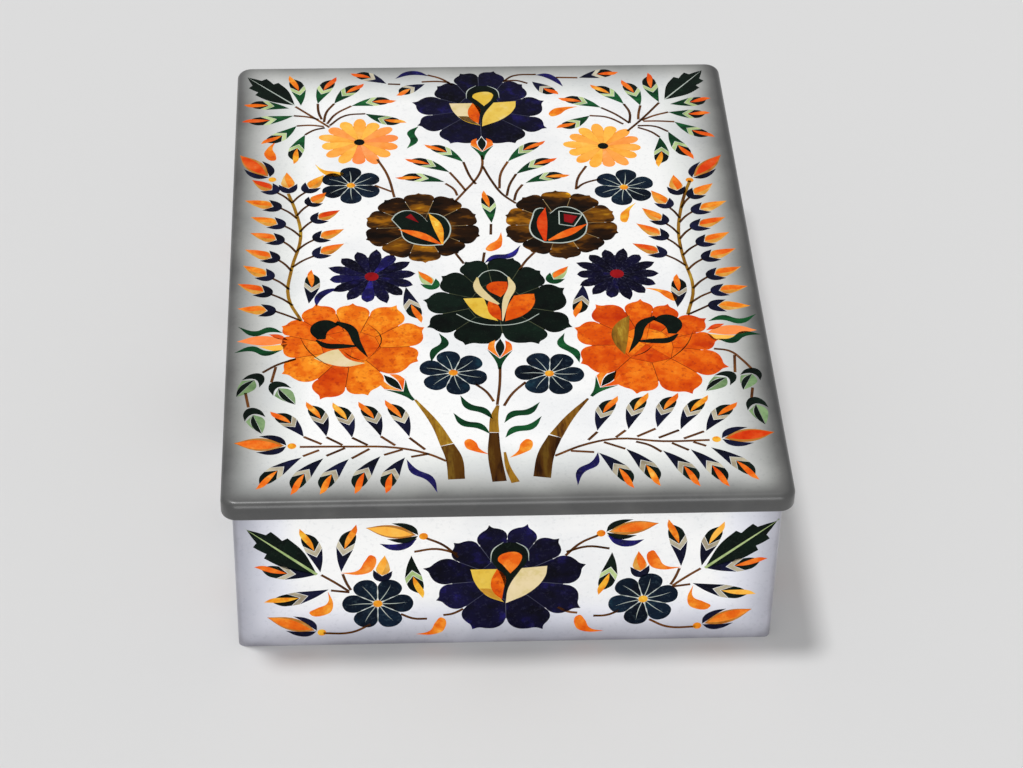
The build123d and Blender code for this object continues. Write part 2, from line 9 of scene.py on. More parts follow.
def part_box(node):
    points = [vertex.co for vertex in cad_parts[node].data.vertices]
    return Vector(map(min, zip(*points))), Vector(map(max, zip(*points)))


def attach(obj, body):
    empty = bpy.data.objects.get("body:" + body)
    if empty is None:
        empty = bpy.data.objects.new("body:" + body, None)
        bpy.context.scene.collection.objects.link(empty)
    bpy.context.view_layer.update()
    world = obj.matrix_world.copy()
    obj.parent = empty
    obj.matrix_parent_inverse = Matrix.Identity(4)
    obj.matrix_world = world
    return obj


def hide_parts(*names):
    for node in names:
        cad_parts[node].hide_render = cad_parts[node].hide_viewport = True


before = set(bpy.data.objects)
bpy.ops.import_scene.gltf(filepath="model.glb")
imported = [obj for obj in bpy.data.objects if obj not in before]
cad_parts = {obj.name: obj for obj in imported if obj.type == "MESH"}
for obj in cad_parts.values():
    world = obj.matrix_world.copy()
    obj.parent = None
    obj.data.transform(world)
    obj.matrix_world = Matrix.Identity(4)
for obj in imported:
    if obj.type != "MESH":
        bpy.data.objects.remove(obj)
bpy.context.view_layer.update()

mm = 0.001
touching = 0.02 * mm  # closer than this, two points count as one
dice = random.Random(11)


def fromScreen(red, green, blue):
    # An 8-bit screen colour as the linear colour that a shader wants.
    linear = [((c / 255 + 0.055) / 1.055) ** 2.4 for c in (red, green, blue)]
    return tuple(linear) + (1.0,)


# The camera stands at the photograph's angle.
cameraSettings = {
    "place": (-39.32, -715.6, 597.02),  # mm
    "turn": (50.7309, -0.8047, -2.3372),  # degrees
    "lens": 104.89,
    "shift": (0.0265, -0.0052),
}
cameraData = bpy.data.cameras.new("studioCamera")
cameraData.sensor_width = 36
cameraData.lens = cameraSettings["lens"]
cameraData.shift_x, cameraData.shift_y = cameraSettings["shift"]
camera = bpy.data.objects.new("studioCamera", cameraData)
camera.location = [v * mm for v in cameraSettings["place"]]
camera.rotation_euler = Euler([math.radians(v) for v in cameraSettings["turn"]])
bpy.context.scene.collection.objects.link(camera)
bpy.context.scene.camera = camera
print("camera placed")

# Light and backdrop. World and lamps together give a level surface an even light of about 1.
lightSettings = {
    "backdrop": fromScreen(218, 218, 218),
    "world": 0.45,
    "key": {"strength": 1.50, "turn": (-5, -12, 0), "softness": 9, "shadow": True},
    "fill": {"strength": 1.3, "turn": (75, 3, 0), "softness": 40, "shadow": False},
    "floorSize": 6.0,
}
scene = bpy.context.scene
scene.view_settings.view_transform = "Standard"


def makeNode(tree, kind, **values):
    node = tree.nodes.new(kind)
    for name, value in values.items():
        if hasattr(node, name):
            setattr(node, name, value)
        else:
            node.inputs[name].default_value = value
    return node


world = bpy.data.worlds.new("studioWorld")
scene.world = world
world.use_nodes = True
worldTree = world.node_tree
worldTree.nodes.clear()
lightPath = makeNode(worldTree, "ShaderNodeLightPath")
plainLight = makeNode(worldTree, "ShaderNodeBackground", Color=(1, 1, 1, 1),
                      Strength=lightSettings["world"])
seenLight = makeNode(worldTree, "ShaderNodeBackground", Color=lightSettings["backdrop"], Strength=1.0)
worldMix = makeNode(worldTree, "ShaderNodeMixShader")
worldOut = makeNode(worldTree, "ShaderNodeOutputWorld")
worldTree.links.new(lightPath.outputs["Is Camera Ray"], worldMix.inputs[0])
worldTree.links.new(plainLight.outputs[0], worldMix.inputs[1])
worldTree.links.new(seenLight.outputs[0], worldMix.inputs[2])
worldTree.links.new(worldMix.outputs[0], worldOut.inputs[0])

for lampName in ("key", "fill"):
    lamp = lightSettings[lampName]
    lampData = bpy.data.lights.new(lampName + "Lamp", "SUN")
    lampData.energy = lamp["strength"]
    lampData.angle = math.radians(lamp["softness"])
    lampData.use_shadow = lamp["shadow"]
    lampObject = bpy.data.objects.new(lampName + "Lamp", lampData)
    lampObject.rotation_euler = Euler([math.radians(v) for v in lamp["turn"]])
    scene.collection.objects.link(lampObject)

floorMesh = bpy.data.meshes.new("studioFloor")
floorShape = bmesh.new()
bmesh.ops.create_grid(floorShape, x_segments=1, y_segments=1, size=lightSettings["floorSize"] / 2)
floorShape.to_mesh(floorMesh)
floorShape.free()
studioFloor = bpy.data.objects.new("studioFloor", floorMesh)
scene.collection.objects.link(studioFloor)
floorMaterial = bpy.data.materials.new("studioPaper")
floorMaterial.use_nodes = True
floorShader = floorMaterial.node_tree.nodes["Principled BSDF"]
floorShader.inputs["Base Color"].default_value = lightSettings["backdrop"]
floorShader.inputs["Roughness"].default_value = 1.0
floorShader.inputs["Specular IOR Level"].default_value = 0.0
floorMesh.materials.append(floorMaterial)
print("studio ready")


# Every finish starts from Object coordinates. A stone's own tint shifts its pattern and colour.
def startFinish(name, roughness, specular):
    material = bpy.data.materials.new(name)
    material.use_nodes = True
    tree = material.node_tree
    shader = tree.nodes["Principled BSDF"]
    shader.inputs["Roughness"].default_value = roughness
    shader.inputs["Specular IOR Level"].default_value = specular
    coordinates = makeNode(tree, "ShaderNodeTexCoord")
    return material, tree, shader, coordinates.outputs["Object"]


def addRamp(tree, source, stops, blend="EASE"):
    ramp = makeNode(tree, "ShaderNodeValToRGB")
    ramp.color_ramp.interpolation = blend
    while len(ramp.color_ramp.elements) < len(stops):
        ramp.color_ramp.elements.new(0.5)
    for element, (place, colour) in zip(ramp.color_ramp.elements, stops):
        element.position = place
        element.color = colour
    tree.links.new(source, ramp.inputs["Fac"])
    return ramp.outputs["Color"]


def addMaths(tree, operation, first, second=None, third=None, clamp=False):
    node = makeNode(tree, "ShaderNodeMath", operation=operation)
    node.use_clamp = clamp
    for slot, value in enumerate((first, second, third)):
        if value is None:
            continue
        if isinstance(value, (int, float)):
            node.inputs[slot].default_value = value
        else:
            tree.links.new(value, node.inputs[slot])
    return node.outputs[0]


def addMix(tree, share, first, second, blend="MIX"):
    node = makeNode(tree, "ShaderNodeMix", data_type="RGBA", blend_type=blend)
    for slot, value in ((0, share), (6, first), (7, second)):
        if isinstance(value, (int, float, tuple)):
            node.inputs[slot].default_value = value
        else:
            tree.links.new(value, node.inputs[slot])
    return node.outputs[2]


def addNoise(tree, vector, scale, detail, roughness, shift=None, stretch=None):
    # shift moves the pattern on to another part of the noise. stretch is a turn in degrees and a
    # scale for each axis.
    if stretch:
        mapping = makeNode(tree, "ShaderNodeMapping")
        mapping.inputs["Rotation"].default_value = (0, 0, math.radians(stretch[0]))
        mapping.inputs["Scale"].default_value = stretch[1]
        tree.links.new(vector, mapping.inputs["Vector"])
        vector = mapping.outputs[0]
    noise = makeNode(tree, "ShaderNodeTexNoise", noise_dimensions="4D" if shift else "3D")
    noise.inputs["Scale"].default_value = scale
    noise.inputs["Detail"].default_value = detail
    noise.inputs["Roughness"].default_value = roughness
    tree.links.new(vector, noise.inputs["Vector"])
    if shift:
        tree.links.new(shift, noise.inputs["W"])
    return noise.outputs["Fac"]


def addBump(tree, shader, height, strength):
    bump = makeNode(tree, "ShaderNodeBump")
    bump.inputs["Strength"].default_value = strength
    bump.inputs["Distance"].default_value = 0.2 * mm
    tree.links.new(height, bump.inputs["Height"])
    tree.links.new(bump.outputs[0], shader.inputs["Normal"])


def screenStops(stops):
    # The stops of a ramp, from screen colours.
    return [(place, fromScreen(*shade)) for place, shade in stops]


# White marble, with painted shade: its colour greys towards the edges of each slab, where no light comes
# through.
marbleSettings = {
    "clear": (251, 251, 250),
    "cloud": (240, 241, 242),
    "vein": (206, 209, 213),
    "cloudScale": 34,
    "grainScale": 900,
    "grainShare": 0.22,
    "roughness": 0.32,
    "specular": 0.5,
    "bump": 0.05,
    # Painted shade: greys by distance from the slab's edge, in mm.
    "lidPaintedShade": [
        (0.0, (73, 73, 73)), (2.0, (106, 106, 105)), (4.0, (140, 141, 139)), (6.5, (172, 173, 171)),
        (9.5, (199, 200, 198)), (13.0, (219, 221, 220)), (18.0, (238, 240, 238)), (24.0, (255, 255, 255)),
    ],
    "wallPaintedShade": [
        (0.0, (144, 143, 152)), (1.6, (174, 174, 185)), (4.0, (190, 191, 202)), (8.0, (216, 217, 228)),
        (13.0, (240, 241, 249)), (18.0, (255, 255, 255)),
    ],
    "lidPaintedShadeMoves": (-1.5, 2.0),  # of the lid's right and far limits for the painted shade, mm
    "wallPaintedShadeTop": 90.0,  # so far up that only a wall's foot greys with painted shade, mm
    "wander": 4.0,  # how far the edges of the painted shade wander, mm
    "wanderScale": 55,
    "cornerBlend": 8.0,  # mm
}


def marbleFinish(name, paintedShade=None, limits=(), halves=None):
    # limits are (axis, lowest, highest) in mm: where the slab ends along each axis. halves are half
    # the body's width and depth: round the walls, the upright edge is as far off as the larger gap.
    look = marbleSettings
    material, tree, shader, place = startFinish(name, look["roughness"], look["specular"])
    cloud = addNoise(tree, place, look["cloudScale"], 5.0, 0.55)
    colour = addRamp(tree, cloud, screenStops([(0.40, look["clear"]), (0.66, look["cloud"])]))
    grain = addNoise(tree, place, look["grainScale"], 3.0, 0.6)
    speck = addRamp(tree, grain, screenStops([(0.30, look["vein"]), (0.46, (255, 255, 255))]))
    colour = addMix(tree, look["grainShare"], colour, speck, "MULTIPLY")
    # Painted shade: the colour is multiplied by a grey that darkens towards the slab's nearest edge.
    if paintedShade:
        split = makeNode(tree, "ShaderNodeSeparateXYZ")
        tree.links.new(place, split.inputs[0])
        nearest = None
        if halves:
            sides = [addMaths(tree, "ABSOLUTE", split.outputs[axis]) for axis in (0, 1)]
            gaps = [addMaths(tree, "SUBTRACT", half * mm, side) for half, side in zip(halves, sides)]
            nearest = addMaths(tree, "MAXIMUM", *gaps)
        for axis, low, high in limits:
            spot = split.outputs[axis]
            for gap in (addMaths(tree, "SUBTRACT", spot, low * mm),
                        addMaths(tree, "SUBTRACT", high * mm, spot)):
                if nearest is None:
                    nearest = gap
                else:
                    nearest = addMaths(tree, "SMOOTH_MIN", nearest, gap, look["cornerBlend"] * mm)
        wander = addMaths(tree, "SUBTRACT", addNoise(tree, place, look["wanderScale"], 3.0, 0.5), 0.5)
        nearest = addMaths(tree, "MULTIPLY_ADD", wander, look["wander"] * mm, nearest)
        reach = paintedShade[-1][0]
        share = addMaths(tree, "DIVIDE", nearest, reach * mm, clamp=True)
        greys = screenStops([(distance / reach, shade) for distance, shade in paintedShade])
        grey = addRamp(tree, share, greys, "LINEAR")
        colour = addMix(tree, 1.0, colour, grey, "MULTIPLY")
    tree.links.new(colour, shader.inputs["Base Color"])
    addBump(tree, shader, grain, look["bump"])
    return material


# Coloured stones. Each has a soft pattern in the screen colours of its stops, and flecks of one
# more colour. The stone's own tint, from 0 to 1, says where in tints its multiplier lies.
stoneFinishes = {
    "lapis": {
        "slot": "lapis", "scale": 260, "speck": (120, 120, 150), "speckShare": 0.10,
        "stops": [(0.30, (10, 8, 28)), (0.52, (17, 14, 54)), (0.75, (36, 31, 108))],
        "tints": [(0.0, (0.36, 0.34, 0.30)), (0.75, (0.9, 0.9, 0.9)), (1.0, (2.2, 2.2, 3.2))],
    },
    "deepLapis": {
        "slot": "lapis", "scale": 170, "speck": (90, 90, 130), "speckShare": 0.05,
        "stops": [(0.34, (8, 7, 20)), (0.54, (13, 11, 38)), (0.72, (28, 23, 84))],
        "tints": [(0.0, (0.6, 0.6, 0.6)), (0.7, (1, 1, 1)), (1.0, (1.5, 1.5, 1.8))],
    },
    "navyAgate": {
        "slot": "lapis", "scale": 220, "speck": (80, 84, 110), "speckShare": 0.06,
        "stops": [(0.30, (8, 10, 22)), (0.60, (16, 18, 44)), (0.85, (30, 32, 78))],
        "tints": [(0.0, (0.7, 0.7, 0.7)), (1.0, (1.3, 1.3, 1.4))],
    },
    "darkJade": {
        "slot": "green_jade", "scale": 200, "speck": (60, 76, 60), "speckShare": 0.05,
        "stops": [(0.30, (6, 12, 10)), (0.62, (10, 24, 17)), (0.85, (22, 46, 30))],
        "tints": [(0.0, (0.7, 0.7, 0.7)), (1.0, (1.35, 1.35, 1.35))],
    },
    "malachite": {
        "slot": "malachite", "scale": 300, "speck": (30, 90, 50), "speckShare": 0.0,
        "stretch": (35, (0.45, 1.6, 1.0)),
        "stops": [(0.30, (10, 44, 26)), (0.55, (16, 74, 40)), (0.80, (52, 122, 62))],
        "tints": [(0.0, (0.6, 0.6, 0.6)), (1.0, (1.4, 1.35, 1.2))],
    },
    "paleJade": {
        "slot": "green_jade", "scale": 240, "speck": (120, 150, 90), "speckShare": 0.06,
        "stops": [(0.30, (150, 178, 112)), (0.60, (190, 208, 150)), (0.85, (214, 224, 178))],
        "tints": [(0.0, (0.85, 0.85, 0.8)), (1.0, (1.1, 1.1, 1.1))],
    },
    "mossJade": {
        "slot": "green_jade", "scale": 240, "speck": (70, 96, 60), "speckShare": 0.10,
        "stops": [(0.30, (92, 124, 82)), (0.60, (128, 156, 110)), (0.85, (176, 194, 150))],
        "tints": [(0.0, (0.85, 0.85, 0.8)), (1.0, (1.1, 1.1, 1.1))],
    },
    "greyAgate": {
        "slot": "yellow_agate", "scale": 240, "speck": (130, 118, 96), "speckShare": 0.06,
        "stops": [(0.30, (160, 148, 128)), (0.60, (194, 186, 164)), (0.85, (214, 208, 186))],
        "tints": [(0.0, (0.8, 0.78, 0.72)), (1.0, (1.12, 1.12, 1.1))],
    },
    "carnelian": {
        "slot": "carnelian", "scale": 230, "speck": (180, 50, 10), "speckShare": 0.22,
        "stops": [
            (0.28, (216, 78, 14)), (0.44, (236, 112, 24)), (0.58, (246, 146, 46)),
            (0.72, (250, 184, 88)),
        ],
        "tints": [
            (0.0, (0.80, 0.26, 0.35)), (0.3, (0.98, 0.72, 0.70)), (0.7, (1, 1.15, 1.0)),
            (1.0, (1, 1.75, 1.5)),
        ],
    },
    "mottledCarnelian": {
        "slot": "carnelian", "scale": 150, "speck": (164, 36, 6), "speckShare": 0.55,
        "stops": [
            (0.28, (198, 58, 4)), (0.46, (224, 88, 8)), (0.58, (240, 116, 20)), (0.74, (252, 150, 40)),
        ],
        "tints": [(0.0, (0.86, 0.58, 0.6)), (0.5, (1, 1, 1)), (1.0, (1.10, 1.62, 2.0))],
    },
    "peachAgate": {
        "slot": "peach_agate", "scale": 190, "speck": (236, 128, 40), "speckShare": 0.22,
        "stops": [(0.28, (250, 156, 60)), (0.52, (254, 176, 84)), (0.78, (255, 198, 118))],
        "tints": [
            (0.0, (0.97, 0.56, 0.74)), (0.34, (1, 0.84, 0.95)), (0.66, (1, 1, 0.72)),
            (1.0, (1, 1.18, 0.80)),
        ],
    },
    "honeyAgate": {
        "slot": "yellow_agate", "scale": 210, "speck": (150, 84, 20), "speckShare": 0.25,
        "stops": [(0.28, (186, 112, 34)), (0.48, (220, 156, 62)), (0.74, (238, 200, 122))],
        "tints": [(0.0, (0.62, 0.50, 0.46)), (0.5, (1, 0.96, 0.9)), (1.0, (1.06, 1.16, 1.3))],
    },
    "yellowAgate": {
        "slot": "yellow_agate", "scale": 170, "speck": (180, 130, 30), "speckShare": 0.18,
        "stops": [(0.28, (212, 164, 40)), (0.52, (230, 192, 70)), (0.78, (238, 216, 130))],
        "tints": [(0.0, (0.72, 0.66, 0.60)), (0.5, (1, 1, 1)), (1.0, (1.04, 1.10, 1.9))],
    },
    "creamAgate": {
        "slot": "yellow_agate", "scale": 150, "speck": (200, 176, 110), "speckShare": 0.14,
        "stops": [(0.28, (214, 196, 130)), (0.52, (232, 214, 168)), (0.78, (244, 226, 196))],
        "tints": [(0.0, (0.86, 0.84, 0.72)), (1.0, (1.05, 1.03, 1.06))],
    },
    "tigerEye": {
        "slot": "tiger_eye", "scale": 85, "speck": (20, 8, 4), "speckShare": 0.30,
        "stretch": (60, (0.8, 2.0, 1.0)),
        "stops": [
            (0.38, (18, 9, 2)), (0.50, (48, 26, 4)), (0.60, (124, 76, 8)), (0.74, (214, 156, 30)),
        ],
        "tints": [(0.0, (0.5, 0.45, 0.4)), (0.7, (0.95, 0.9, 0.9)), (1.0, (1.7, 1.7, 1.5))],
    },
    "trunkJasper": {
        "slot": "brown_jasper", "scale": 130, "speck": (60, 30, 8), "speckShare": 0.30,
        "stretch": (8, (3.0, 0.5, 1.0)),
        "stops": [(0.34, (84, 46, 14)), (0.50, (142, 94, 26)), (0.68, (186, 146, 52))],
        "tints": [(0.0, (0.26, 0.22, 0.20)), (0.5, (0.8, 0.8, 0.75)), (1.0, (1.25, 1.5, 1.3))],
    },
    "stemJasper": {
        "slot": "brown_jasper", "scale": 160, "speck": (50, 26, 10), "speckShare": 0.15,
        "stops": [(0.30, (62, 34, 16)), (0.55, (96, 58, 26)), (0.80, (150, 96, 40))],
        "tints": [(0.0, (0.6, 0.6, 0.6)), (1.0, (1.3, 1.25, 1.2))],
    },
    "blueJasper": {
        "slot": "blue_jasper", "scale": 170, "speck": (110, 140, 150), "speckShare": 0.07,
        "stops": [(0.30, (6, 11, 22)), (0.56, (9, 23, 40)), (0.80, (22, 54, 70))],
        "tints": [(0.0, (0.7, 0.7, 0.7)), (1.0, (1.5, 1.5, 1.4))],
    },
    "darkRedAgate": {
        "slot": "carnelian", "scale": 260, "speck": (80, 4, 8), "speckShare": 0.15,
        "stops": [(0.30, (112, 8, 12)), (0.60, (150, 16, 22)), (0.85, (190, 40, 40))],
        "tints": [(0.0, (0.8, 0.8, 0.8)), (1.0, (1.2, 1.2, 1.2))],
    },
    "whiteLine": {
        "slot": "marble", "scale": 260, "speck": (150, 160, 150), "speckShare": 0.1,
        "stops": [(0.30, (176, 188, 180)), (0.60, (206, 214, 206)), (0.85, (226, 230, 224))],
        "tints": [(0.0, (0.8, 0.82, 0.8)), (1.0, (1.05, 1.05, 1.05))],
    },
}
# Beds, which show between petals: each one's slot, its dark and light shades, and its flecks.
bedShades = {
    "greyBed": ("lapis", (52, 52, 72), (84, 86, 104), (60, 60, 70)),
    "oliveBed": ("green_jade", (60, 64, 44), (96, 102, 74), (60, 60, 50)),
    "brownBed": ("carnelian", (84, 24, 6), (124, 44, 10), (90, 30, 8)),
    "tanBed": ("tiger_eye", (120, 96, 60), (170, 146, 100), (90, 70, 40)),
    "peachBed": ("peach_agate", (222, 112, 30), (240, 150, 60), (200, 90, 20)),
}
for bedName, (slot, dark, light, speck) in bedShades.items():
    stoneFinishes[bedName] = {
        "slot": slot, "scale": 260, "speck": speck, "speckShare": 0.1,
        "stops": [(0.3, dark), (0.7, light)],
        "tints": [(0.0, (1, 1, 1)), (1.0, (1, 1, 1))],
    }
polishSettings = {
    "roughness": 0.24,
    "smoothest": 0.18,  # the least roughness, and what the flecks add to it
    "fleckRoughness": 0.16,
    "specular": 0.05,
    "patternShift": 40.0,  # how far apart in the noise tints 0 and 1 lie
    "fleckScale": 4.5,  # times the scale of the stone's pattern
    "bump": 0.06,
}


def stoneFinish(name):
    look = stoneFinishes[name]
    polish = polishSettings
    material, tree, shader, place = startFinish(name, polish["roughness"], polish["specular"])
    tint = makeNode(tree, "ShaderNodeAttribute", attribute_name="tint").outputs["Fac"]
    shift = addMaths(tree, "MULTIPLY", tint, polish["patternShift"])
    pattern = addNoise(tree, place, look["scale"], 4.0, 0.6, shift, look.get("stretch"))
    colour = addRamp(tree, pattern, screenStops(look["stops"]))
    own = addRamp(tree, tint, [(spot, shade + (1,)) for spot, shade in look["tints"]])
    colour = addMix(tree, 1.0, colour, own, "MULTIPLY")
    fleck = addNoise(tree, place, look["scale"] * polish["fleckScale"], 3.0, 0.7, shift)
    fleckShare = addRamp(tree, fleck, [(0.52, (0, 0, 0, 1)), (0.66, (1, 1, 1, 1))])
    fleckShare = addMaths(tree, "MULTIPLY", fleckShare, look["speckShare"])
    colour = addMix(tree, fleckShare, colour, fromScreen(*look["speck"]))
    tree.links.new(colour, shader.inputs["Base Color"])
    sheen = addMaths(tree, "MULTIPLY_ADD", fleck, polish["fleckRoughness"], polish["smoothest"])
    tree.links.new(sheen, shader.inputs["Roughness"])
    addBump(tree, shader, pattern, polish["bump"])
    return material


finishes = {name: stoneFinish(name) for name in stoneFinishes}
print("finishes mixed:", len(finishes))

# Marble pieces. Their faces lie a hair under the CAD's, so the stones in them stay level with it.
# The rounds are (width in mm, segments).
slabSettings = {
    "under": 0.05,  # mm
    "lidCorner": (4.5, 8),
    "lidTopRound": (1.9, 5),
    "lidLowerRound": (0.7, 3),
    "wallCorner": (2.0, 6),
    "wallFoot": (0.8, 3),
    "rimEase": (0.35, 2),
}


def bevelEdges(shape, edges, size):
    width, segments = slabSettings[size]
    bmesh.ops.bevel(shape, geom=edges, offset=width * mm, segments=segments, profile=0.5,
                    affect="EDGES", material=-1, clamp_overlap=True)


def finishPiece(name, shape, body, material, nodes, smoothAngle=40):
    # smoothAngle is in degrees. At 0 the piece stays flat-shaded, as cut stones do.
    mesh = bpy.data.meshes.new(name)
    shape.to_mesh(mesh)
    shape.free()
    mesh.materials.append(material)
    piece = bpy.data.objects.new(name, mesh)
    scene.collection.objects.link(piece)
    if smoothAngle:
        mesh.shade_smooth()
        mesh.set_sharp_from_angle(angle=math.radians(smoothAngle))
    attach(piece, body)
    if nodes:
        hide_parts(*nodes)
    return piece


def slabShape(low, high):
    shape = bmesh.new()
    bmesh.ops.create_cube(shape, size=1.0)
    middle = (Vector(low) + Vector(high)) / 2
    size = Vector(high) - Vector(low)
    bmesh.ops.scale(shape, vec=size, verts=shape.verts)
    bmesh.ops.translate(shape, vec=middle, verts=shape.verts)
    return shape


def edgesWhere(shape, test):
    return [edge for edge in shape.edges if test(*[v.co for v in edge.verts])]


def near(first, second):
    return abs(first - second) < touching


def makeLid():
    low, high = [Vector(corner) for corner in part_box("lid_slab")]
    high.z -= slabSettings["under"] * mm
    shape = slabShape(low, high)
    upright = edgesWhere(shape, lambda a, b: near(a.x, b.x) and near(a.y, b.y))
    bevelEdges(shape, upright, "lidCorner")
    topRim = edgesWhere(shape, lambda a, b: near(a.z, high.z) and near(b.z, high.z))
    bevelEdges(shape, topRim, "lidTopRound")
    lowerRim = edgesWhere(shape, lambda a, b: near(a.z, low.z) and near(b.z, low.z))
    bevelEdges(shape, lowerRim, "lidLowerRound")
    # The lid's colour gets painted shade towards its edges: more on the right, less at the far side.
    x, y = high.x / mm, high.y / mm
    right, far = marbleSettings["lidPaintedShadeMoves"]
    limits = [(0, -x, x + right), (1, -y, y + far)]
    material = marbleFinish("lidMarble", marbleSettings["lidPaintedShade"], limits)
    finishPiece("marbleLid", shape, "lid", material, ["lid_slab"])


def makeWall(node, axis, side, material):
    # axis is the one the wall faces along, and side says which way.
    low, high = [Vector(corner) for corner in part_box(node)]
    under = slabSettings["under"] * mm
    if side > 0:
        high[axis] -= under
    else:
        low[axis] += under
    shape = slabShape(low, high)
    outer = high[axis] if side > 0 else low[axis]
    if axis == 1:
        upright = edgesWhere(shape, lambda a, b: near(a.x, b.x) and near(a.y, b.y) and near(a.y, outer))
        bevelEdges(shape, upright, "wallCorner")
    foot = edgesWhere(shape, lambda a, b: near(a.z, low.z) and near(b.z, low.z)
                      and near(a[axis], outer) and near(b[axis], outer))
    bevelEdges(shape, foot, "wallFoot")
    rim = edgesWhere(shape, lambda a, b: near(a.z, high.z) and near(b.z, high.z)
                     and near(a[axis], b[axis]))
    bevelEdges(shape, rim, "rimEase")
    finishPiece("marble" + node.title().replace("_", ""), shape, "box", material, [node])


makeLid()
bodyHalves = (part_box("front_wall")[1][0] / mm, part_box("back_wall")[1][1] / mm)
# The walls' colour gets painted shade at their feet and at their upright edges.
wallLimits = [(2, 0.0, marbleSettings["wallPaintedShadeTop"])]
wallMarble = marbleFinish("wallMarble", marbleSettings["wallPaintedShade"], wallLimits, bodyHalves)
for node, axis, side in (("front_wall", 1, -1), ("back_wall", 1, 1), ("left_wall", 0, -1),
                         ("right_wall", 0, 1)):
    makeWall(node, axis, side, wallMarble)
plainMarble = marbleFinish("plainMarble")
for node in ("base_slab", "lid_locating_plate"):
    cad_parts[node].material_slots[0].material = plainMarble
print("marble shaped")

# Each panel of inlay is drawn in mm, x across and y up, and then stood on its face of the box.
# Here are the middle of its foot line or of the lid, and the directions across, up and out.
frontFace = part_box("front_wall")[0][1]
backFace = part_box("back_wall")[1][1]
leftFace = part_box("left_wall")[0][0]
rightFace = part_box("right_wall")[1][0]
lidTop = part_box("lid_slab")[1][2]
panels = {
    "lid": ((0, 0, lidTop), (1, 0, 0), (0, 1, 0), (0, 0, 1)),
    "front": ((0, frontFace, 0), (1, 0, 0), (0, 0, 1), (0, -1, 0)),
    "back": ((0, backFace, 0), (-1, 0, 0), (0, 0, 1), (0, 1, 0)),
    "left": ((leftFace, 0, 0), (0, -1, 0), (0, 0, 1), (-1, 0, 0)),
    "right": ((rightFace, 0, 0), (0, 1, 0), (0, 0, 1), (1, 0, 0)),
}
inlaySettings = {
    "depth": 1.6,  # mm
    # Tops of the large stones, of the slips set in them, then in those, and last of the beds, in mm.
    "levels": (-0.036, -0.024, -0.012, 0.0, -0.044),
    "bed": -1,  # the beds' place in levels
    "roundSteps": 5,
    "discSteps": 4,
    "glueLine": 0.10,  # round a petal, mm
    "fineGlueLine": 0.04,
    "tintSpread": 0.04,  # how far a stone may stray from the tint it is given
}
shelves = {}


def corners(points):
    # Marks every point as a sharp corner of its stone.
    return [(point[0], point[1], 1) for point in points]


def cutStone(panel, kind, outline, tint=None, raised=0, steps=None):
    # A stone with smooth sides through the outline's points, and corners at those with a third
    # number. A stone with no tint of its own gets one from the dice.
    curve = bpy.data.curves.new("outline", "CURVE")
    curve.dimensions = "2D"
    curve.fill_mode = "NONE"
    curve.resolution_u = steps or inlaySettings["roundSteps"]
    spline = curve.splines.new("BEZIER")
    spline.bezier_points.add(len(outline) - 1)
    spline.use_cyclic_u = True
    for knot, point in zip(spline.bezier_points, outline):
        knot.co = (point[0] * mm, point[1] * mm, 0)
        hold = "VECTOR" if len(point) > 2 else "AUTO"
        knot.handle_left_type = hold
        knot.handle_right_type = hold
    holder = bpy.data.objects.new("outline", curve)
    flat = bpy.data.meshes.new_from_object(holder)
    stone = bmesh.new()
    stone.from_mesh(flat)
    bpy.data.objects.remove(holder)
    bpy.data.curves.remove(curve)
    bpy.data.meshes.remove(flat)
    bmesh.ops.remove_doubles(stone, verts=stone.verts, dist=touching)
    top = bmesh.ops.contextual_create(stone, geom=stone.edges)["faces"]
    level = inlaySettings["levels"][raised] * mm
    bmesh.ops.translate(stone, vec=(0, 0, level), verts=stone.verts)
    lower = bmesh.ops.extrude_face_region(stone, geom=top)["geom"]
    lowerVerts = [v for v in lower if isinstance(v, bmesh.types.BMVert)]
    bmesh.ops.translate(stone, vec=(0, 0, -inlaySettings["depth"] * mm), verts=lowerVerts)
    bmesh.ops.recalc_face_normals(stone, faces=stone.faces)
    tintLayer = stone.faces.layers.float.new("tint")
    spread = inlaySettings["tintSpread"]
    ownTint = dice.random() if tint is None else tint + dice.uniform(-spread, spread)
    for face in stone.faces:
        face[tintLayer] = min(max(ownTint, 0.0), 1.0)
    cut = bpy.data.meshes.new("stone")
    stone.to_mesh(cut)
    stone.free()
    shelf = shelves.setdefault((panel, kind), bmesh.new())
    shelf.from_mesh(cut)
    bpy.data.meshes.remove(cut)


def inset(points, gap):
    # Moves the corners of an outline inwards, so that a line of glue shows round the stone.
    area = sum(a[0] * b[1] - b[0] * a[1] for a, b in zip(points, points[1:] + points[:1]))
    gap = gap if area > 0 else -gap
    moved = []
    for i, point in enumerate(points):
        before = Vector(points[i - 1][:2])
        here = Vector(point[:2])
        after = Vector(points[(i + 1) % len(points)][:2])
        a = (here - before).normalized()
        b = (after - here).normalized()
        share = gap / max(1 + a.dot(b), 0.5)
        moved.append((here.x - share * (a.y + b.y), here.y + share * (a.x + b.x)) + tuple(point[2:]))
    return moved


def along(base, tip, bend=0.0):
    # A bent line from base to tip: share 0 to 1 along it, then mm to its left.
    dx, dy = tip[0] - base[0], tip[1] - base[1]
    length = math.hypot(dx, dy)

    def at(share, aside=0.0):
        aside += bend * 4 * share * (1 - share)
        return (base[0] + share * dx - aside * dy / length, base[1] + share * dy + aside * dx / length)

    return at


def around(centre, radius, angle):
    return (centre[0] + radius * math.cos(angle), centre[1] + radius * math.sin(angle))


def disc(panel, kind, centre, radius, tint, raised=1):
    quarters = [around(centre, radius, math.pi / 2 * k) for k in range(4)]
    cutStone(panel, kind, quarters, tint, raised, inlaySettings["discSteps"])


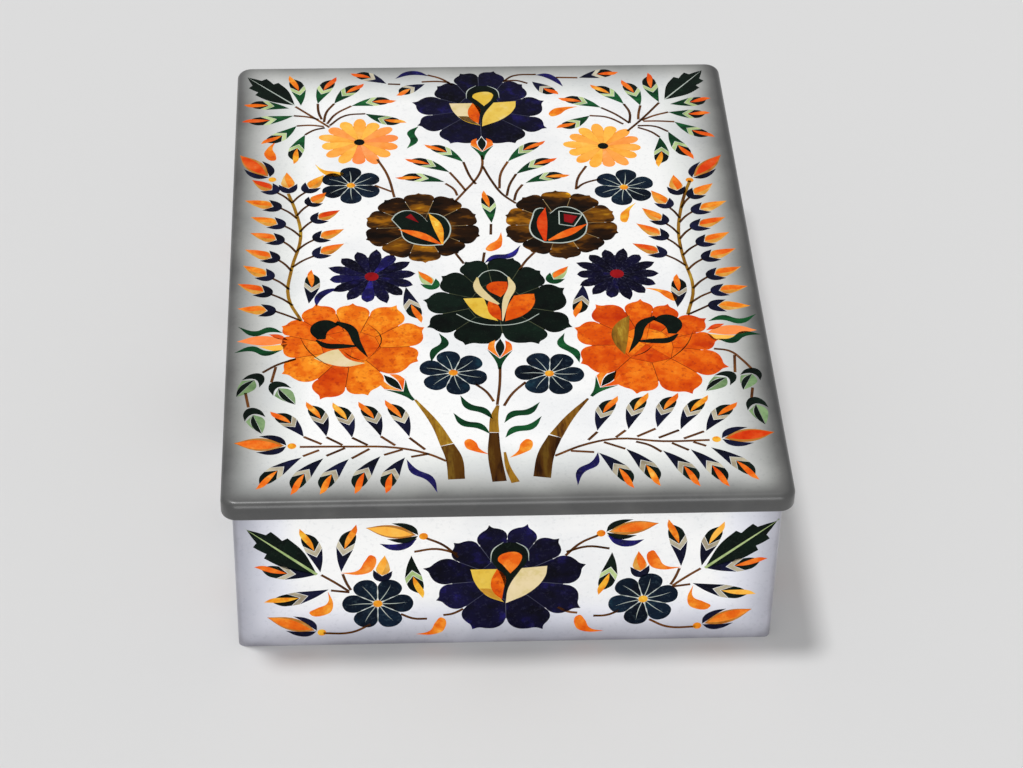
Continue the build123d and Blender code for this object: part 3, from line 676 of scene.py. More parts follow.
def ribbon(panel, kind, spine, widths, tint=None, raised=0):
    # A band along spine, with a width for each of its points.
    right = []
    left = []
    last = len(spine) - 1
    for i, (x, y) in enumerate(spine):
        x0, y0 = spine[max(i - 1, 0)]
        x1, y1 = spine[min(i + 1, last)]
        length = math.hypot(x1 - x0, y1 - y0)
        half = widths[i] / 2
        aside = (-(y1 - y0) / length * half, (x1 - x0) / length * half)
        end = (1,) if i in (0, last) else ()
        left.append((x + aside[0], y + aside[1]) + end)
        if half or not end:
            right.append((x - aside[0], y - aside[1]) + end)
    cutStone(panel, kind, left + right[::-1], tint, raised)


def stem(panel, spine, width, tint=None, kind="stems"):
    ribbon(panel, kind, spine, [width] * len(spine), tint)


def cutAlong(panel, kind, at, half, spots, tint=None, raised=0):
    # Spots are (share along, aside as a share of half the width), with a third number at a corner.
    cutStone(panel, kind, [at(spot[0], spot[1] * half) + spot[2:] for spot in spots], tint, raised)


def leafyBud(panel, kinds, base, tip, width, lean, tint):
    # A cup, a pale chevron over it, a dark core and a flame. The body bulges one way, and the flame's
    # tip hooks back the other way, which is to the left where lean is above 0.
    cups, chevrons, cores, flames = kinds
    at = along(base, tip, -0.7 * lean)
    half = width / 2
    hook = 1 if lean >= 0 else -1
    cutAlong(panel, cups, at, half, [
        (0, 0, 1), (0.22, -0.52), (0.49, -1, 1), (0.33, 0, 1), (0.49, 1, 1), (0.22, 0.52)])
    cutAlong(panel, chevrons, at, half, [
        (0.345, 0, 1), (0.50, -1, 1), (0.615, -0.98, 1), (0.45, 0, 1), (0.615, 0.98, 1), (0.50, 1, 1)])
    cutAlong(panel, cores, at, half, [
        (0.462, 0, 1), (0.625, -0.97, 1), (0.76, -0.80), (0.90, 0.12 * hook, 1), (0.76, 0.80),
        (0.625, 0.97, 1)])
    cutAlong(panel, flames, at, half, [
        (0.47, 0, 1), (0.64, -0.20 * hook), (0.82, -0.14 * hook), (1.0, 0.10 * hook, 1),
        (0.87, 0.60 * hook), (0.69, 0.50 * hook)], tint, 1)


def sprayBud(panel, kinds, base, tip, width, tint):
    # A forked cup that holds a long pale flame, whose upper half is a bright slip.
    cups, flames, sparks = kinds
    at = along(base, tip)
    half = width / 2
    upper = 1 if tip[0] > base[0] else -1
    cutAlong(panel, cups, at, half, [
        (0, -0.35), (0.13, -0.86), (0.42, -1, 1), (0.20, 0, 1), (0.42, 1, 1), (0.13, 0.86), (0, 0.35)])
    cutAlong(panel, flames, at, half, [
        (0.225, 0, 1), (0.38, -0.68), (0.60, -0.62), (1, 0, 1), (0.60, 0.62), (0.38, 0.68)],
        0.25 + 0.5 * tint)
    cutAlong(panel, sparks, at, half, [
        (0.25, 0.10 * upper, 1), (0.40, 0.56 * upper), (0.62, 0.56 * upper), (0.99, 0, 1),
        (0.70, -0.26 * upper), (0.46, -0.12 * upper)], tint, 1)


def tulip(panel, kinds, base, tip, width, tint):
    # Two sepals that part round a flame with a bright slip in it, on a small disc.
    sepals, flames, sparks, discs = kinds
    at = along(base, tip)
    half = width / 2
    for side in (-1, 1):
        cutAlong(panel, sepals, at, half, [
            (0.02, 0.04 * side, 1), (0.10, 0.72 * side), (0.30, 1.05 * side), (0.56, 0.86 * side, 1),
            (0.36, 0.62 * side), (0.18, 0.30 * side)])
    cutAlong(panel, flames, at, half, [
        (0.06, 0, 1), (0.28, -0.52), (0.58, -0.66), (1, 0, 1), (0.58, 0.66), (0.28, 0.52)], 0.1)
    cutAlong(panel, sparks, at, half, [
        (0.12, 0, 1), (0.36, -0.34), (0.64, -0.42), (0.98, 0, 1), (0.62, 0.50), (0.34, 0.40)], tint, 1)
    disc(panel, discs, at(-0.08), 1.25, 0.9, 0)


def hangingLeaf(panel, kinds, base, tip, width):
    # A forked cap over a leaf that is dark on one side of its middle and pale on the other.
    dark, pale = kinds
    at = along(base, tip)
    half = width / 2
    cutAlong(panel, dark, at, half, [
        (-0.02, 0), (0.12, -0.85), (0.42, -1.1, 1), (0.26, -0.45), (0.22, 0, 1), (0.26, 0.45),
        (0.42, 1.1, 1), (0.12, 0.85)])
    cutAlong(panel, dark, at, half, [(0.25, -0.02, 1), (0.46, -0.50), (0.76, -0.52), (1, 0, 1)])
    cutAlong(panel, pale, at, half, [(0.25, 0, 1), (0.98, 0.05, 1), (0.74, 0.62), (0.46, 0.82)])
    cutAlong(panel, pale, at, half, [
        (0.27, -0.10, 1), (0.44, -1, 1), (0.64, -0.80), (0.78, -0.56, 1), (0.46, -0.58)])


def comma(panel, kind, tail, head, width, bend, tint):
    at = along(tail, head, 1.5 * bend)
    cutAlong(panel, kind, at, width / 2, [
        (0, 0, 1), (0.4, -0.50), (0.74, -1), (1, 0), (0.74, 1), (0.4, 0.50)], tint)


def curl(panel, kind, spine, width, tint=None):
    ribbon(panel, kind, spine, [0.0] + [width] * (len(spine) - 2) + [0.0], tint)


def toothedLeaf(panel, kind, vein, base, tip, width):
    # A leaf with two teeth on each side. vein is the kind and width of the line down its middle.
    at = along(base, tip)
    sides = {}
    for side in (-1, 1):
        sides[side] = [
            (0.12, 0.34 * side), (0.34, 0.84 * side), (0.57, side, 1), (0.59, 0.66 * side, 1),
            (0.66, 0.72 * side), (0.76, 0.76 * side, 1), (0.77, 0.40 * side, 1), (0.87, 0.22 * side, 1)]
    rim = [(0, 0, 1)] + sides[-1] + [(0.97, 0, 1)] + sides[1][::-1]
    cutAlong(panel, kind, at, width / 2, rim, 0.5)
    veinKind, veinWidth = vein
    ribbon(panel, veinKind, [at(0.0), at(0.5), at(1.0)], [veinWidth, 0.7 * veinWidth, 0.0], 0.2, 1)


def daisy(panel, look, centre, radius, turn, tints):
    # Narrow petals round an eye, on a bed that shows as thin seams.
    petals, eye, beds = look["kinds"]
    count = len(tints)
    step = 2 * math.pi / count
    shoulder = 0.32 if look["pointed"] else 0.40
    disc(panel, beds, centre, 0.74 * radius, 0.5, inlaySettings["bed"])
    for k in range(count):
        angle = turn + k * step
        reach = radius * (1.0 + 0.05 * math.sin(2.4 * k))
        halves = []
        for side in (-1, 1):
            halves.append([around(centre, 0.8 * look["eyeRadius"], angle + 0.38 * side * step) + (1,),
                           around(centre, 0.66 * radius, angle + 0.475 * side * step),
                           around(centre, 0.86 * radius, angle + shoulder * side * step)])
        tip = around(centre, reach, angle) + ((1,) if look["pointed"] else ())
        cutStone(panel, petals, halves[0] + [tip] + halves[1][::-1], tints[k])
    disc(panel, eye, centre, look["eyeRadius"], look["eyeTint"])


# Blossoms, the same on the lid and on the walls: lengths in mm.
blossomSettings = {
    "count": 6,
    "eyeRadius": 1.35,
    "veinWidths": [0.24, 0.20, 0.0],
    "seamWidths": [0.30, 0.12],
}


def blossom(panel, centre, radius, turn):
    step = 2 * math.pi / blossomSettings["count"]
    for k in range(blossomSettings["count"]):
        angle = turn + k * step
        halves = []
        for side in (-1, 1):
            halves.append([around(centre, 0.22 * radius, angle + 0.43 * side * step),
                           around(centre, 0.44 * radius, angle + 0.462 * side * step),
                           around(centre, 0.76 * radius, angle + 0.455 * side * step),
                           around(centre, 0.98 * radius, angle + 0.22 * side * step)])
        root = around(centre, 1.0, angle) + (1,)
        cutStone(panel, "blossomPetals", [root] + halves[0] + halves[1][::-1])
        vein = [around(centre, 1.2, angle), around(centre, 0.5 * radius, angle),
                around(centre, 0.84 * radius, angle + 0.05)]
        ribbon(panel, "whiteLines", vein, blossomSettings["veinWidths"], 0.4, 1)
        seam = [around(centre, 1.0, angle + step / 2), around(centre, 0.7 * radius, angle + step / 2)]
        ribbon(panel, "whiteLines", seam, blossomSettings["seamWidths"], 0.6)
    disc(panel, "amberEyes", centre, blossomSettings["eyeRadius"], 0.95)


def valleysBetween(tips, centre, share):
    # Valleys halfway round from each tip to the next, at a share of the shorter reach.
    middle = Vector(centre)
    valleys = []
    for first, second in zip(tips, tips[1:] + tips[:1]):
        a, b = Vector(first) - middle, Vector(second) - middle
        halfway = (a.normalized() + b.normalized()).normalized()
        valleys.append(tuple(middle + halfway * share * min(a.length, b.length)))
    return valleys


# How a petal bulges from its valley to its tip: (share of the way, bulge as a share of that way).
roseShoulders = [(0.17, 0.16), (0.41, 0.21), (0.63, 0.13), (0.80, 0.02)]
carnationShoulders = [(0.14, 0.25), (0.42, 0.33), (0.68, 0.19), (0.84, 0.04)]


def roseFlower(panel, rose):
    # Uneven petals with pointed tips on a darker bed, round a fan of inner stones. Valley k follows
    # tip k. A rose has its own valleys, or the share at which valleysBetween puts them.
    petals, inners, beds = rose["kinds"]
    tips, centre, tints = rose["tips"], rose["centre"], rose.get("tints")
    valleys = rose.get("valleys") or valleysBetween(tips, centre, rose["valleyShare"])
    count = len(tips)
    middle = Vector(centre)
    inner = [tuple(middle + rose["heartShare"] * (Vector(valley) - middle)) for valley in valleys]
    cutStone(panel, beds, corners(valleys), 0.5, inlaySettings["bed"])
    for k in range(count):
        before, after = Vector(valleys[k - 1]), Vector(valleys[k])
        tip = Vector(tips[k])
        root = (before + after) / 2
        sides = []
        for valley in (before, after):
            way = tip - valley
            out = Vector((-way.y, way.x))
            if out.dot(valley - root) < 0:
                out = -out
            shoulders = rose["shoulders"]
            sides.append([tuple(valley + share * way + bulge * out) for share, bulge in shoulders])
        start = corners([inner[k - 1], before])
        end = corners([after, inner[k]])
        outline = start + sides[0] + corners([tip]) + sides[1][::-1] + end
        outline = inset(outline, inlaySettings["glueLine"])
        cutStone(panel, petals, outline, tints[k] if tints else None)
    for k in range(0, count, 2):
        fan = corners([centre, inner[k - 1], inner[k], inner[(k + 1) % count]])
        cutStone(panel, inners, inset(fan, inlaySettings["fineGlueLine"]))


def shifted(points, centre):
    return [(centre[0] + p[0], centre[1] + p[1]) + tuple(p[2:]) for p in points]


def roseHeart(panel, centre, left, right, slip):
    # The folded heart of the navy roses: pale petals, a dark drop, and a bright slip in the drop.
    # left, right and slip are the kinds of stone of the two petals and the slip.
    for kind, tint, level, outline in (
        (left, 0.7, 1, [
            (-9.6, 3.3, 1), (-2.2, 3.3, 1), (-3.6, -1.1), (-2.9, -4.7), (-0.2, -9.2, 1), (-5.1, -6.5),
            (-8.2, -2.0)]),
        ("roseYellows", 0.3, 1, [
            (-7.0, -4.0, 1), (-3.2, -4.6), (-1.6, -7.4), (0.0, -9.5, 1), (-4.9, -6.9)]),
        (right, 0.8, 1, [
            (4.7, 3.5, 1), (11.9, 4.2, 1), (11.4, 0.2), (7.4, -5.6), (0.5, -9.9, 1), (1.2, -3.8)]),
        ("roseOranges", 0.6, 2, [
            (-2.2, 3.3, 1), (0.2, 0.6), (-0.2, -4.7), (-0.6, -8.4, 1), (-3.1, -5.4), (-3.8, -1.6)]),
        ("roseDrops", 0.3, 2, [
            (0.3, -9.4, 1), (0.0, -3.0), (-1.6, 2.4), (-3.7, 6.9), (-2.6, 11.4), (1.4, 13.3), (5.3, 11.2),
            (6.3, 6.9), (3.5, 1.5), (1.2, -2.9)]),
        (slip, 0.4, 3, [(-2.0, 7.3), (0.7, 9.6), (4.4, 8.8), (4.2, 5.6), (1.6, 1.6, 1), (-0.4, 4.6)]),
    ):
        cutStone(panel, kind, shifted(outline, centre), tint, level)
    for spine in ([(-4.0, 6.0), (-3.4, 10.6), (-0.6, 13.4)], [(6.7, 6.2), (6.0, 10.8), (3.0, 13.3)]):
        ribbon(panel, "whiteLines", shifted(spine, centre), [0.1, 0.34, 0.1], 0.2, 3)


def drawCalyx(panel, foot, top, width):
    # A dark forked cup with an orange flame on each side of its middle point.
    at = along(foot, top)
    half = width / 2
    cutAlong(panel, "greenBudCups", at, half, [
        (0, -0.12, 1), (0.20, -0.26), (0.62, -1.02, 1), (0.34, 0, 1), (0.62, 1.02, 1), (0.20, 0.26),
        (0, 0.12, 1)])
    cutAlong(panel, "darkCores", at, half, [(0.38, 0, 1), (0.72, -0.36), (1, 0, 1), (0.72, 0.36)])
    for side in (-1, 1):
        cutAlong(panel, "greenBudFlames", at, half, [
            (0.36, 0.02 * side, 1), (0.64, side, 1), (0.84, 0.86 * side), (0.94, 0.40 * side, 1),
            (0.70, 0.44 * side)], 0.4 + 0.1 * side, 1)


print("inlay tools ready")

# The lid's drawing. Places and widths are in mm, places from the lid's centre, x right and y away.
# A bud's place is its base, its tip, how far it leans, and its tint. Every tint is from 0 to 1.
greenKinds = ("greenBudCups", "paleChevrons", "darkCores", "greenBudFlames")
rowKinds = ("rowBudCups", "greyChevrons", "darkCores", "rowBudFlames")
fanBuds = {
    "kinds": greenKinds,
    "width": 4.8,
    "places": [
        ((-58.2, 85.0), (-61.8, 102.5), 1.4, 0.65), ((-52.8, 86.0), (-47.0, 101.5), -1.4, 0.15),
        ((-47.5, 86.0), (-38.0, 97.5), -1.2, 0.25), ((-42.0, 84.5), (-27.5, 87.5), -1.2, 0.35),
        ((-37.5, 80.0), (-24.5, 74.5), 1.4, 0.75), ((-62.0, 83.5), (-76.5, 86.0), 0.8, 0.5),
        ((-60.5, 79.3), (-77.0, 75.8), -1.0, 0.1), ((-59.5, 73.5), (-70.5, 63.5), -1.2, 0.5),
        ((-56.8, 68.5), (-60.5, 52.5), 1.0, 0.85), ((57.5, 84.8), (55.0, 102.0), -1.0, 0.2),
        ((51.3, 83.0), (46.5, 98.0), 1.2, 0.3), ((46.0, 84.0), (36.0, 95.5), 1.2, 0.7),
        ((38.5, 82.0), (25.0, 88.0), 1.2, 0.3), ((34.5, 77.5), (23.5, 70.5), -1.2, 0.5),
        ((61.0, 83.6), (74.5, 86.5), 0.6, 0.15), ((60.0, 79.0), (73.5, 78.0), 1.0, 0.3),
        ((61.5, 73.5), (73.5, 64.5), 1.2, 0.15), ((59.0, 68.0), (65.5, 52.5), 1.0, 0.35),
        ((56.0, 65.0), (54.5, 48.5), -1.0, 0.9),
    ],
}
crownBuds = {
    "kinds": greenKinds,
    "width": 4.4,
    "places": [
        ((-7.0, 52.5), (-19.0, 62.5), 1.4, 0.4), ((-11.5, 47.0), (-25.3, 54.8), 1.2, 0.35),
        ((-13.2, 41.8), (-28.5, 44.6), 1.6, 0.6), ((7.0, 52.5), (19.3, 63.8), -1.4, 0.35),
        ((9.3, 45.7), (22.5, 54.3), -1.2, 0.3), ((12.0, 40.8), (26.0, 45.0), -1.6, 0.65),
        ((0.5, 20.0), (-1.0, 37.0), 0.5, 0.6),
    ],
}
navyBuds = {
    "kinds": rowKinds,
    "width": 4.8,
    "places": [
        ((-18.0, 96.7), (-27.5, 90.5), 0.6, 0.4), ((-30.5, 97.2), (-42.0, 103.6), 1.0, 0.15),
        ((17.0, 97.5), (25.0, 89.7), 0.6, 0.35), ((32.5, 99.5), (45.5, 102.8), -0.6, 0.2),
        ((-55.2, -19.0), (-54.2, -2.5), 0.6, 0.5), ((53.7, -23.2), (55.2, -7.0), 0.6, 0.5),
        ((-26.4, -11.6), (-22.4, -29.0), 0.8, 0.5), ((26.4, -11.6), (23.4, -27.5), -0.8, 0.6),
    ],
}
rowBuds = {
    "kinds": rowKinds,
    "width": 4.8,
    "places": [
        ((-56.3, -79.7), (-65.7, -68.3), 1.4, 0.35), ((-50.0, -79.7), (-55.5, -64.3), 1.6, 0.6),
        ((-42.8, -80.4), (-48.0, -64.8), 1.6, 0.8), ((-34.8, -80.0), (-40.7, -64.6), 1.6, 0.5),
        ((-26.8, -80.4), (-33.2, -64.0), 1.6, 0.4), ((-56.8, -88.5), (-69.5, -101.5), 1.4, 0.4),
        ((-50.8, -89.0), (-60.0, -104.0), 1.6, 0.35), ((-43.8, -89.5), (-52.0, -104.0), 1.4, 0.5),
        ((-35.0, -88.5), (-42.5, -104.0), 1.6, 0.3), ((-28.2, -89.2), (-34.0, -104.0), 1.6, 0.3),
        ((26.0, -79.0), (32.7, -63.8), -1.6, 0.5), ((34.8, -78.6), (41.5, -62.5), -1.6, 0.6),
        ((43.0, -78.0), (50.0, -62.8), -1.4, 0.5), ((49.5, -79.0), (58.5, -64.0), -1.4, 0.85),
        ((56.6, -79.8), (66.5, -67.3), -1.4, 0.6), ((25.8, -88.5), (34.7, -103.5), -1.4, 0.4),
        ((33.5, -87.0), (42.0, -102.8), -1.6, 0.6), ((43.7, -88.0), (53.0, -103.2), -1.4, 0.4),
        ((51.5, -87.7), (61.0, -103.5), -1.4, 0.25), ((57.3, -87.0), (69.5, -100.8), -1.4, 0.35),
    ],
}
# A rosebud's or spray bud's place is its base, its tip and its tint.
rosebuds = {
    "kinds": ("greenBudCups", "yellowSlips", "sprayBudSparks"),
    "width": 5.4,
    "places": [
        ((-17.6, -12.6), (-22.6, -3.8), 0.6), ((16.6, -10.4), (22.6, -2.4), 0.3),
    ],
}
sprayBuds = {
    "kinds": ("sprayBudCups", "sprayBudFlames", "sprayBudSparks"),
    "width": 5.8,
    "places": [
        ((-61.6, 37.0), (-62.4, 48.0), 0.5), ((-65.2, 37.2), (-73.2, 44.2), 0.05),
        ((-64.0, 29.0), (-75.2, 33.2), 0.7), ((-62.7, 19.7), (-73.2, 24.6), 0.6),
        ((-63.0, 11.7), (-73.2, 16.4), 0.3), ((-64.3, 2.5), (-74.6, 8.0), 0.35),
        ((-66.0, -6.6), (-75.0, 0.0), 0.7), ((-66.3, -14.3), (-76.4, -9.0), 0.2),
        ((-65.0, -22.5), (-76.2, -21.0), 0.45), ((-56.5, 37.2), (-50.8, 46.4), 0.8),
        ((-55.6, 30.3), (-50.0, 37.0), 0.4), ((-54.4, 22.0), (-45.8, 27.6), 0.1),
        ((-53.8, 12.5), (-44.6, 17.8), 0.55), ((-53.8, 4.3), (-44.6, 10.4), 0.35),
        ((59.0, 33.5), (58.5, 44.2), 0.4), ((62.4, 32.0), (70.4, 39.4), 0.45),
        ((62.6, 24.5), (73.8, 30.0), 0.6), ((61.5, 16.0), (72.6, 21.6), 0.3),
        ((62.6, 7.7), (73.0, 13.8), 0.45), ((63.4, 0.3), (74.0, 5.4), 0.3),
        ((64.0, -8.7), (74.6, -3.8), 0.5), ((64.5, -16.0), (75.6, -13.4), 0.5),
        ((63.0, -22.5), (75.4, -23.0), 0.75), ((55.8, 26.8), (50.8, 36.0), 0.55),
        ((54.0, 18.5), (47.2, 26.8), 0.6), ((53.6, 10.8), (44.8, 18.8), 0.35),
        ((52.5, 2.5), (42.8, 8.6), 0.1),
    ],
}
# The two long stalks that the spray buds hang on, and the twigs from a bud down to its stalk.
sprayStems = {
    "kind": "sprayStems",
    "width": 1.05,
    "tint": 0.8,
    "spines": [
        [(-57.4, -27.2), (-61.2, -16.0), (-60.4, -2.0), (-57.8, 14.0), (-59.4, 27.0), (-61.8, 36.6)],
        [(56.4, -26.8), (59.2, -14.0), (57.6, 2.0), (57.4, 14.0), (59.0, 25.0), (60.9, 33.0), (63.4, 41.0)],
    ],
}
twigSettings = {"width": 0.8, "tint": 0.1, "drop": 5.5, "sag": 2.2, "shortest": 2.0}
hangingLeaves = {
    "kinds": ("hangingLeaves", "paleHalves"),
    "width": 5.6,
    "places": [
        ((-68.8, -51.8), (-75.6, -61.8)), ((-65.3, -55.6), (-58.7, -65.6)),
        ((-71.5, -67.0), (-68.0, -78.2)), ((73.5, -52.5), (69.0, -62.0)),
        ((67.0, -54.3), (58.3, -62.2)), ((71.4, -65.5), (73.6, -77.5)),
    ],
}
cornerLeaves = {
    "kind": "cornerLeaves",
    "vein": ("whiteLines", 0.5),
    "width": 10.2,
    "places": [
        ((-60.2, 85.2), (-76.2, 102.2)), ((59.4, 86.2), (73.6, 103.6)),
    ],
}
# Base, tip, width and tint.
tulips = {
    "kinds": ("tulipSepals", "tulipFlames", "tulipSparks", "amberDiscs"),
    "places": [
        ((-67.6, 45.2), (-77.2, 57.6), 8.2, 0.1), ((64.2, 42.3), (74.6, 54.8), 7.0, 0.0),
        ((-60.8, -83.5), (-75.8, -82.0), 8.0, 0.3), ((60.4, -83.3), (75.8, -80.8), 8.0, 0.05),
    ],
}
greenCurls = {
    "kind": "greenCurls",
    "width": 2.4,
    "tint": None,
    "spines": [
        [(-20.6, 72.6), (-23.1, 69.0), (-22.2, 64.5), (-24.6, 60.2)],
        [(-17.2, -33.8), (-15.6, -38.6), (-18.8, -42.6), (-19.8, -47.4)],
        [(19.5, -34.6), (18.2, -39.4), (22.2, -44.0), (23.0, -48.6)],
        [(-12.0, -62.5), (-9.8, -67.4), (-5.4, -69.6), (-3.0, -73.4)],
        [(-14.2, -70.2), (-11.4, -74.8), (-7.0, -76.2), (-4.0, -79.8)],
        [(10.6, -66.0), (7.2, -70.2), (2.6, -71.2), (0.0, -75.0)],
        [(10.8, -72.2), (7.4, -76.8), (2.6, -78.0), (0.0, -81.4)],
        [(-75.8, -29.6), (-71.0, -33.0), (-66.5, -31.2), (-62.6, -32.8)],
        [(-76.6, -41.8), (-71.5, -40.0), (-67.5, -42.2), (-62.8, -40.8)],
        [(76.6, -27.0), (71.6, -30.2), (66.5, -28.4), (62.0, -30.0)],
        [(77.0, -36.6), (72.0, -36.2), (68.0, -39.4), (63.8, -38.4)],
    ],
}
blueCurls = {
    "kind": "blueCurls",
    "width": 2.2,
    "tint": 0.9,
    "spines": [
        [(8.8, 8.4), (5.6, 3.4), (0.4, 2.4), (-2.6, -0.4)],
        [(-45.8, -11.6), (-50.0, -13.4), (-52.4, -16.4), (-53.0, -20.6)],
        [(-27.8, -90.0), (-25.8, -95.0), (-21.6, -98.2), (-19.6, -104.2)],
        [(25.6, -88.2), (24.4, -92.8), (20.2, -96.2), (19.0, -102.2)],
        [(-27.6, 100.0), (-23.8, 102.9), (-20.4, 103.2), (-16.6, 101.4)],
        [(18.4, 101.4), (21.4, 101.2), (24.4, 98.8), (27.0, 94.4)],
    ],
}
# Tail, head, width, bend and tint.
lidCommas = {
    "kind": "commas",
    "places": [
        ((-66.0, 65.0), (-66.4, 54.4), 3.6, -1.2, 0.6), ((-53.6, 52.2), (-44.6, 46.8), 3.0, -1.4, 0.95),
        ((31.0, 82.8), (21.8, 77.6), 3.6, -0.8, 0.7), ((45.6, 29.6), (41.2, 19.4), 2.8, -0.8, 0.9),
        ((3.2, 15.2), (-1.6, 6.0), 3.6, 1.0, 0.45), ((44.6, -13.6), (53.4, -20.0), 2.8, 1.0, 0.6),
        ((-4.9, -88.4), (-10.6, -81.8), 3.6, 0.8, 0.45), ((0.9, -90.0), (6.6, -82.2), 3.6, -0.8, 0.6),
    ],
}
# Spine, its widths, and tint.
trunks = {
    "kind": "trunks",
    "places": [
        ([(-1.4, -67.2), (-2.6, -72.0), (-3.0, -79.0)], [0.9, 2.2, 2.9], 0.98),
        ([(-3.0, -79.2), (-3.3, -88.0), (-2.4, -99.9)], [2.7, 3.7, 4.0], 0.0),
        ([(-0.4, -87.6), (0.2, -94.0), (2.0, -100.4)], [0.7, 1.5, 2.4], 0.95),
        ([(-24.8, -64.2), (-19.4, -75.0), (-16.4, -84.0)], [0.7, 2.4, 3.8], 0.9),
        ([(-16.3, -84.2), (-14.6, -90.0), (-14.2, -98.7)], [3.9, 4.7, 4.7], 0.16),
        ([(24.4, -64.8), (18.6, -73.0), (14.2, -81.0)], [0.7, 2.4, 3.8], 0.6),
        ([(14.0, -81.2), (11.0, -89.0), (9.4, -98.4)], [3.9, 4.7, 4.9], 0.0),
    ],
}
lidStems = {
    "width": 0.85,
    "spines": [
        [(-49.0, 72.5), (-54.0, 78.0), (-60.0, 84.5)], [(-52.8, 86.0), (-52.5, 81.0), (-51.5, 77.0)],
        [(-47.5, 86.0), (-50.0, 81.0), (-50.8, 75.5)], [(-42.0, 84.5), (-47.0, 80.0), (-49.8, 74.5)],
        [(-37.5, 80.0), (-44.0, 79.0), (-49.0, 73.5)], [(-60.5, 79.3), (-56.0, 78.5), (-52.5, 77.0)],
        [(-59.5, 73.5), (-55.0, 73.8), (-50.8, 73.0)], [(-56.8, 68.5), (-54.0, 71.0), (-50.5, 72.3)],
        [(46.0, 68.5), (51.0, 75.0), (57.5, 84.5)], [(51.3, 83.0), (50.3, 78.0), (50.0, 75.0)],
        [(46.0, 84.0), (47.5, 79.0), (47.0, 73.0)], [(38.5, 82.0), (43.0, 78.0), (47.0, 73.0)],
        [(34.5, 77.5), (40.0, 76.5), (45.0, 72.5)], [(60.0, 79.0), (55.0, 77.0), (51.0, 74.5)],
        [(61.5, 73.5), (56.0, 74.0), (51.5, 74.0)], [(59.0, 68.0), (55.0, 71.0), (49.5, 71.5)],
        [(56.0, 65.0), (53.5, 68.0), (49.5, 70.5)],
        [(-1.0, 56.0), (-1.2, 50.0), (-3.0, 44.0), (-7.0, 37.0), (-10.5, 31.0)],
        [(-1.0, 50.0), (1.5, 42.0), (4.5, 35.0), (8.5, 30.0)],
        [(-7.0, 52.5), (-5.0, 44.0), (-3.5, 40.5)], [(-11.5, 47.0), (-9.0, 42.0), (-6.8, 37.0)],
        [(-13.0, 41.0), (-10.5, 38.0), (-9.5, 34.5)], [(7.0, 52.5), (4.5, 46.0), (3.7, 38.0)],
        [(9.3, 45.7), (7.0, 40.0), (5.8, 34.0)], [(11.0, 40.0), (9.0, 36.0), (8.0, 31.5)],
        [(-34.0, 54.5), (-31.0, 46.0), (-29.0, 34.0)], [(31.5, 49.5), (28.5, 43.0), (27.5, 37.0)],
        [(-35.0, 40.5), (-29.8, 37.0)], [(35.5, 42.5), (30.0, 40.0), (27.8, 37.5)],
        [(0.3, 19.5), (0.0, 14.0)], [(-2.3, 5.0), (-3.0, 0.0)], [(-11.0, 4.7), (-8.7, -0.5)],
        [(13.0, 5.0), (10.0, 0.5), (7.8, -4.0)], [(-9.0, 96.0), (-13.0, 100.0), (-17.0, 102.0)],
        [(-10.0, 97.5), (-14.0, 98.2), (-19.0, 98.0)], [(-26.0, 96.7), (-30.0, 97.0)],
        [(7.5, 97.5), (11.0, 101.0), (18.5, 101.7)], [(8.0, 98.0), (12.0, 98.2), (15.5, 96.5)],
        [(25.0, 99.8), (32.0, 99.5)],
        [(-16.8, -91.0), (-21.5, -88.0), (-30.6, -85.0), (-44.0, -84.2), (-57.4, -84.0)],
        [(-56.3, -79.7), (-51.3, -83.0)], [(-50.0, -80.0), (-45.5, -83.5)],
        [(-42.8, -80.4), (-38.5, -83.7)], [(-34.8, -80.0), (-30.8, -84.0)],
        [(-26.8, -80.8), (-22.5, -86.0)], [(-56.5, -88.0), (-52.0, -85.5)],
        [(-50.0, -88.0), (-44.8, -84.8)], [(-43.0, -89.3), (-38.0, -85.3)],
        [(-34.0, -88.0), (-28.8, -85.8)], [(-26.5, -89.0), (-21.5, -87.8)],
        [(13.5, -89.5), (22.4, -84.8), (31.6, -82.6), (44.0, -84.0), (57.2, -83.8)],
        [(26.0, -79.5), (23.2, -83.0)], [(34.0, -79.0), (31.0, -82.0)], [(42.5, -78.5), (37.0, -81.8)],
        [(49.0, -79.3), (43.0, -82.5)], [(56.0, -80.0), (50.0, -83.0)], [(24.5, -88.2), (18.0, -87.5)],
        [(33.3, -87.0), (27.5, -84.0)], [(43.3, -88.5), (40.0, -85.5), (36.5, -84.0)],
        [(51.0, -88.0), (46.5, -84.8)], [(56.0, -86.3), (52.5, -84.5)],
        [(-58.8, -45.0), (-64.0, -47.5), (-68.3, -51.0)], [(-64.5, -48.5), (-65.7, -55.5)],
        [(-73.0, -60.0), (-72.0, -66.5)], [(62.5, -43.0), (67.0, -44.2), (70.0, -48.0), (72.5, -52.5)],
        [(68.2, -46.0), (67.5, -54.0)], [(71.8, -61.0), (71.0, -65.5)],
        [(-7.5, -57.5), (-4.5, -61.0), (-2.5, -65.5)], [(7.0, -57.0), (3.0, -62.0), (0.3, -67.5)],
        [(0.0, -50.0), (-0.5, -58.0), (-1.6, -67.0)],
    ],
}
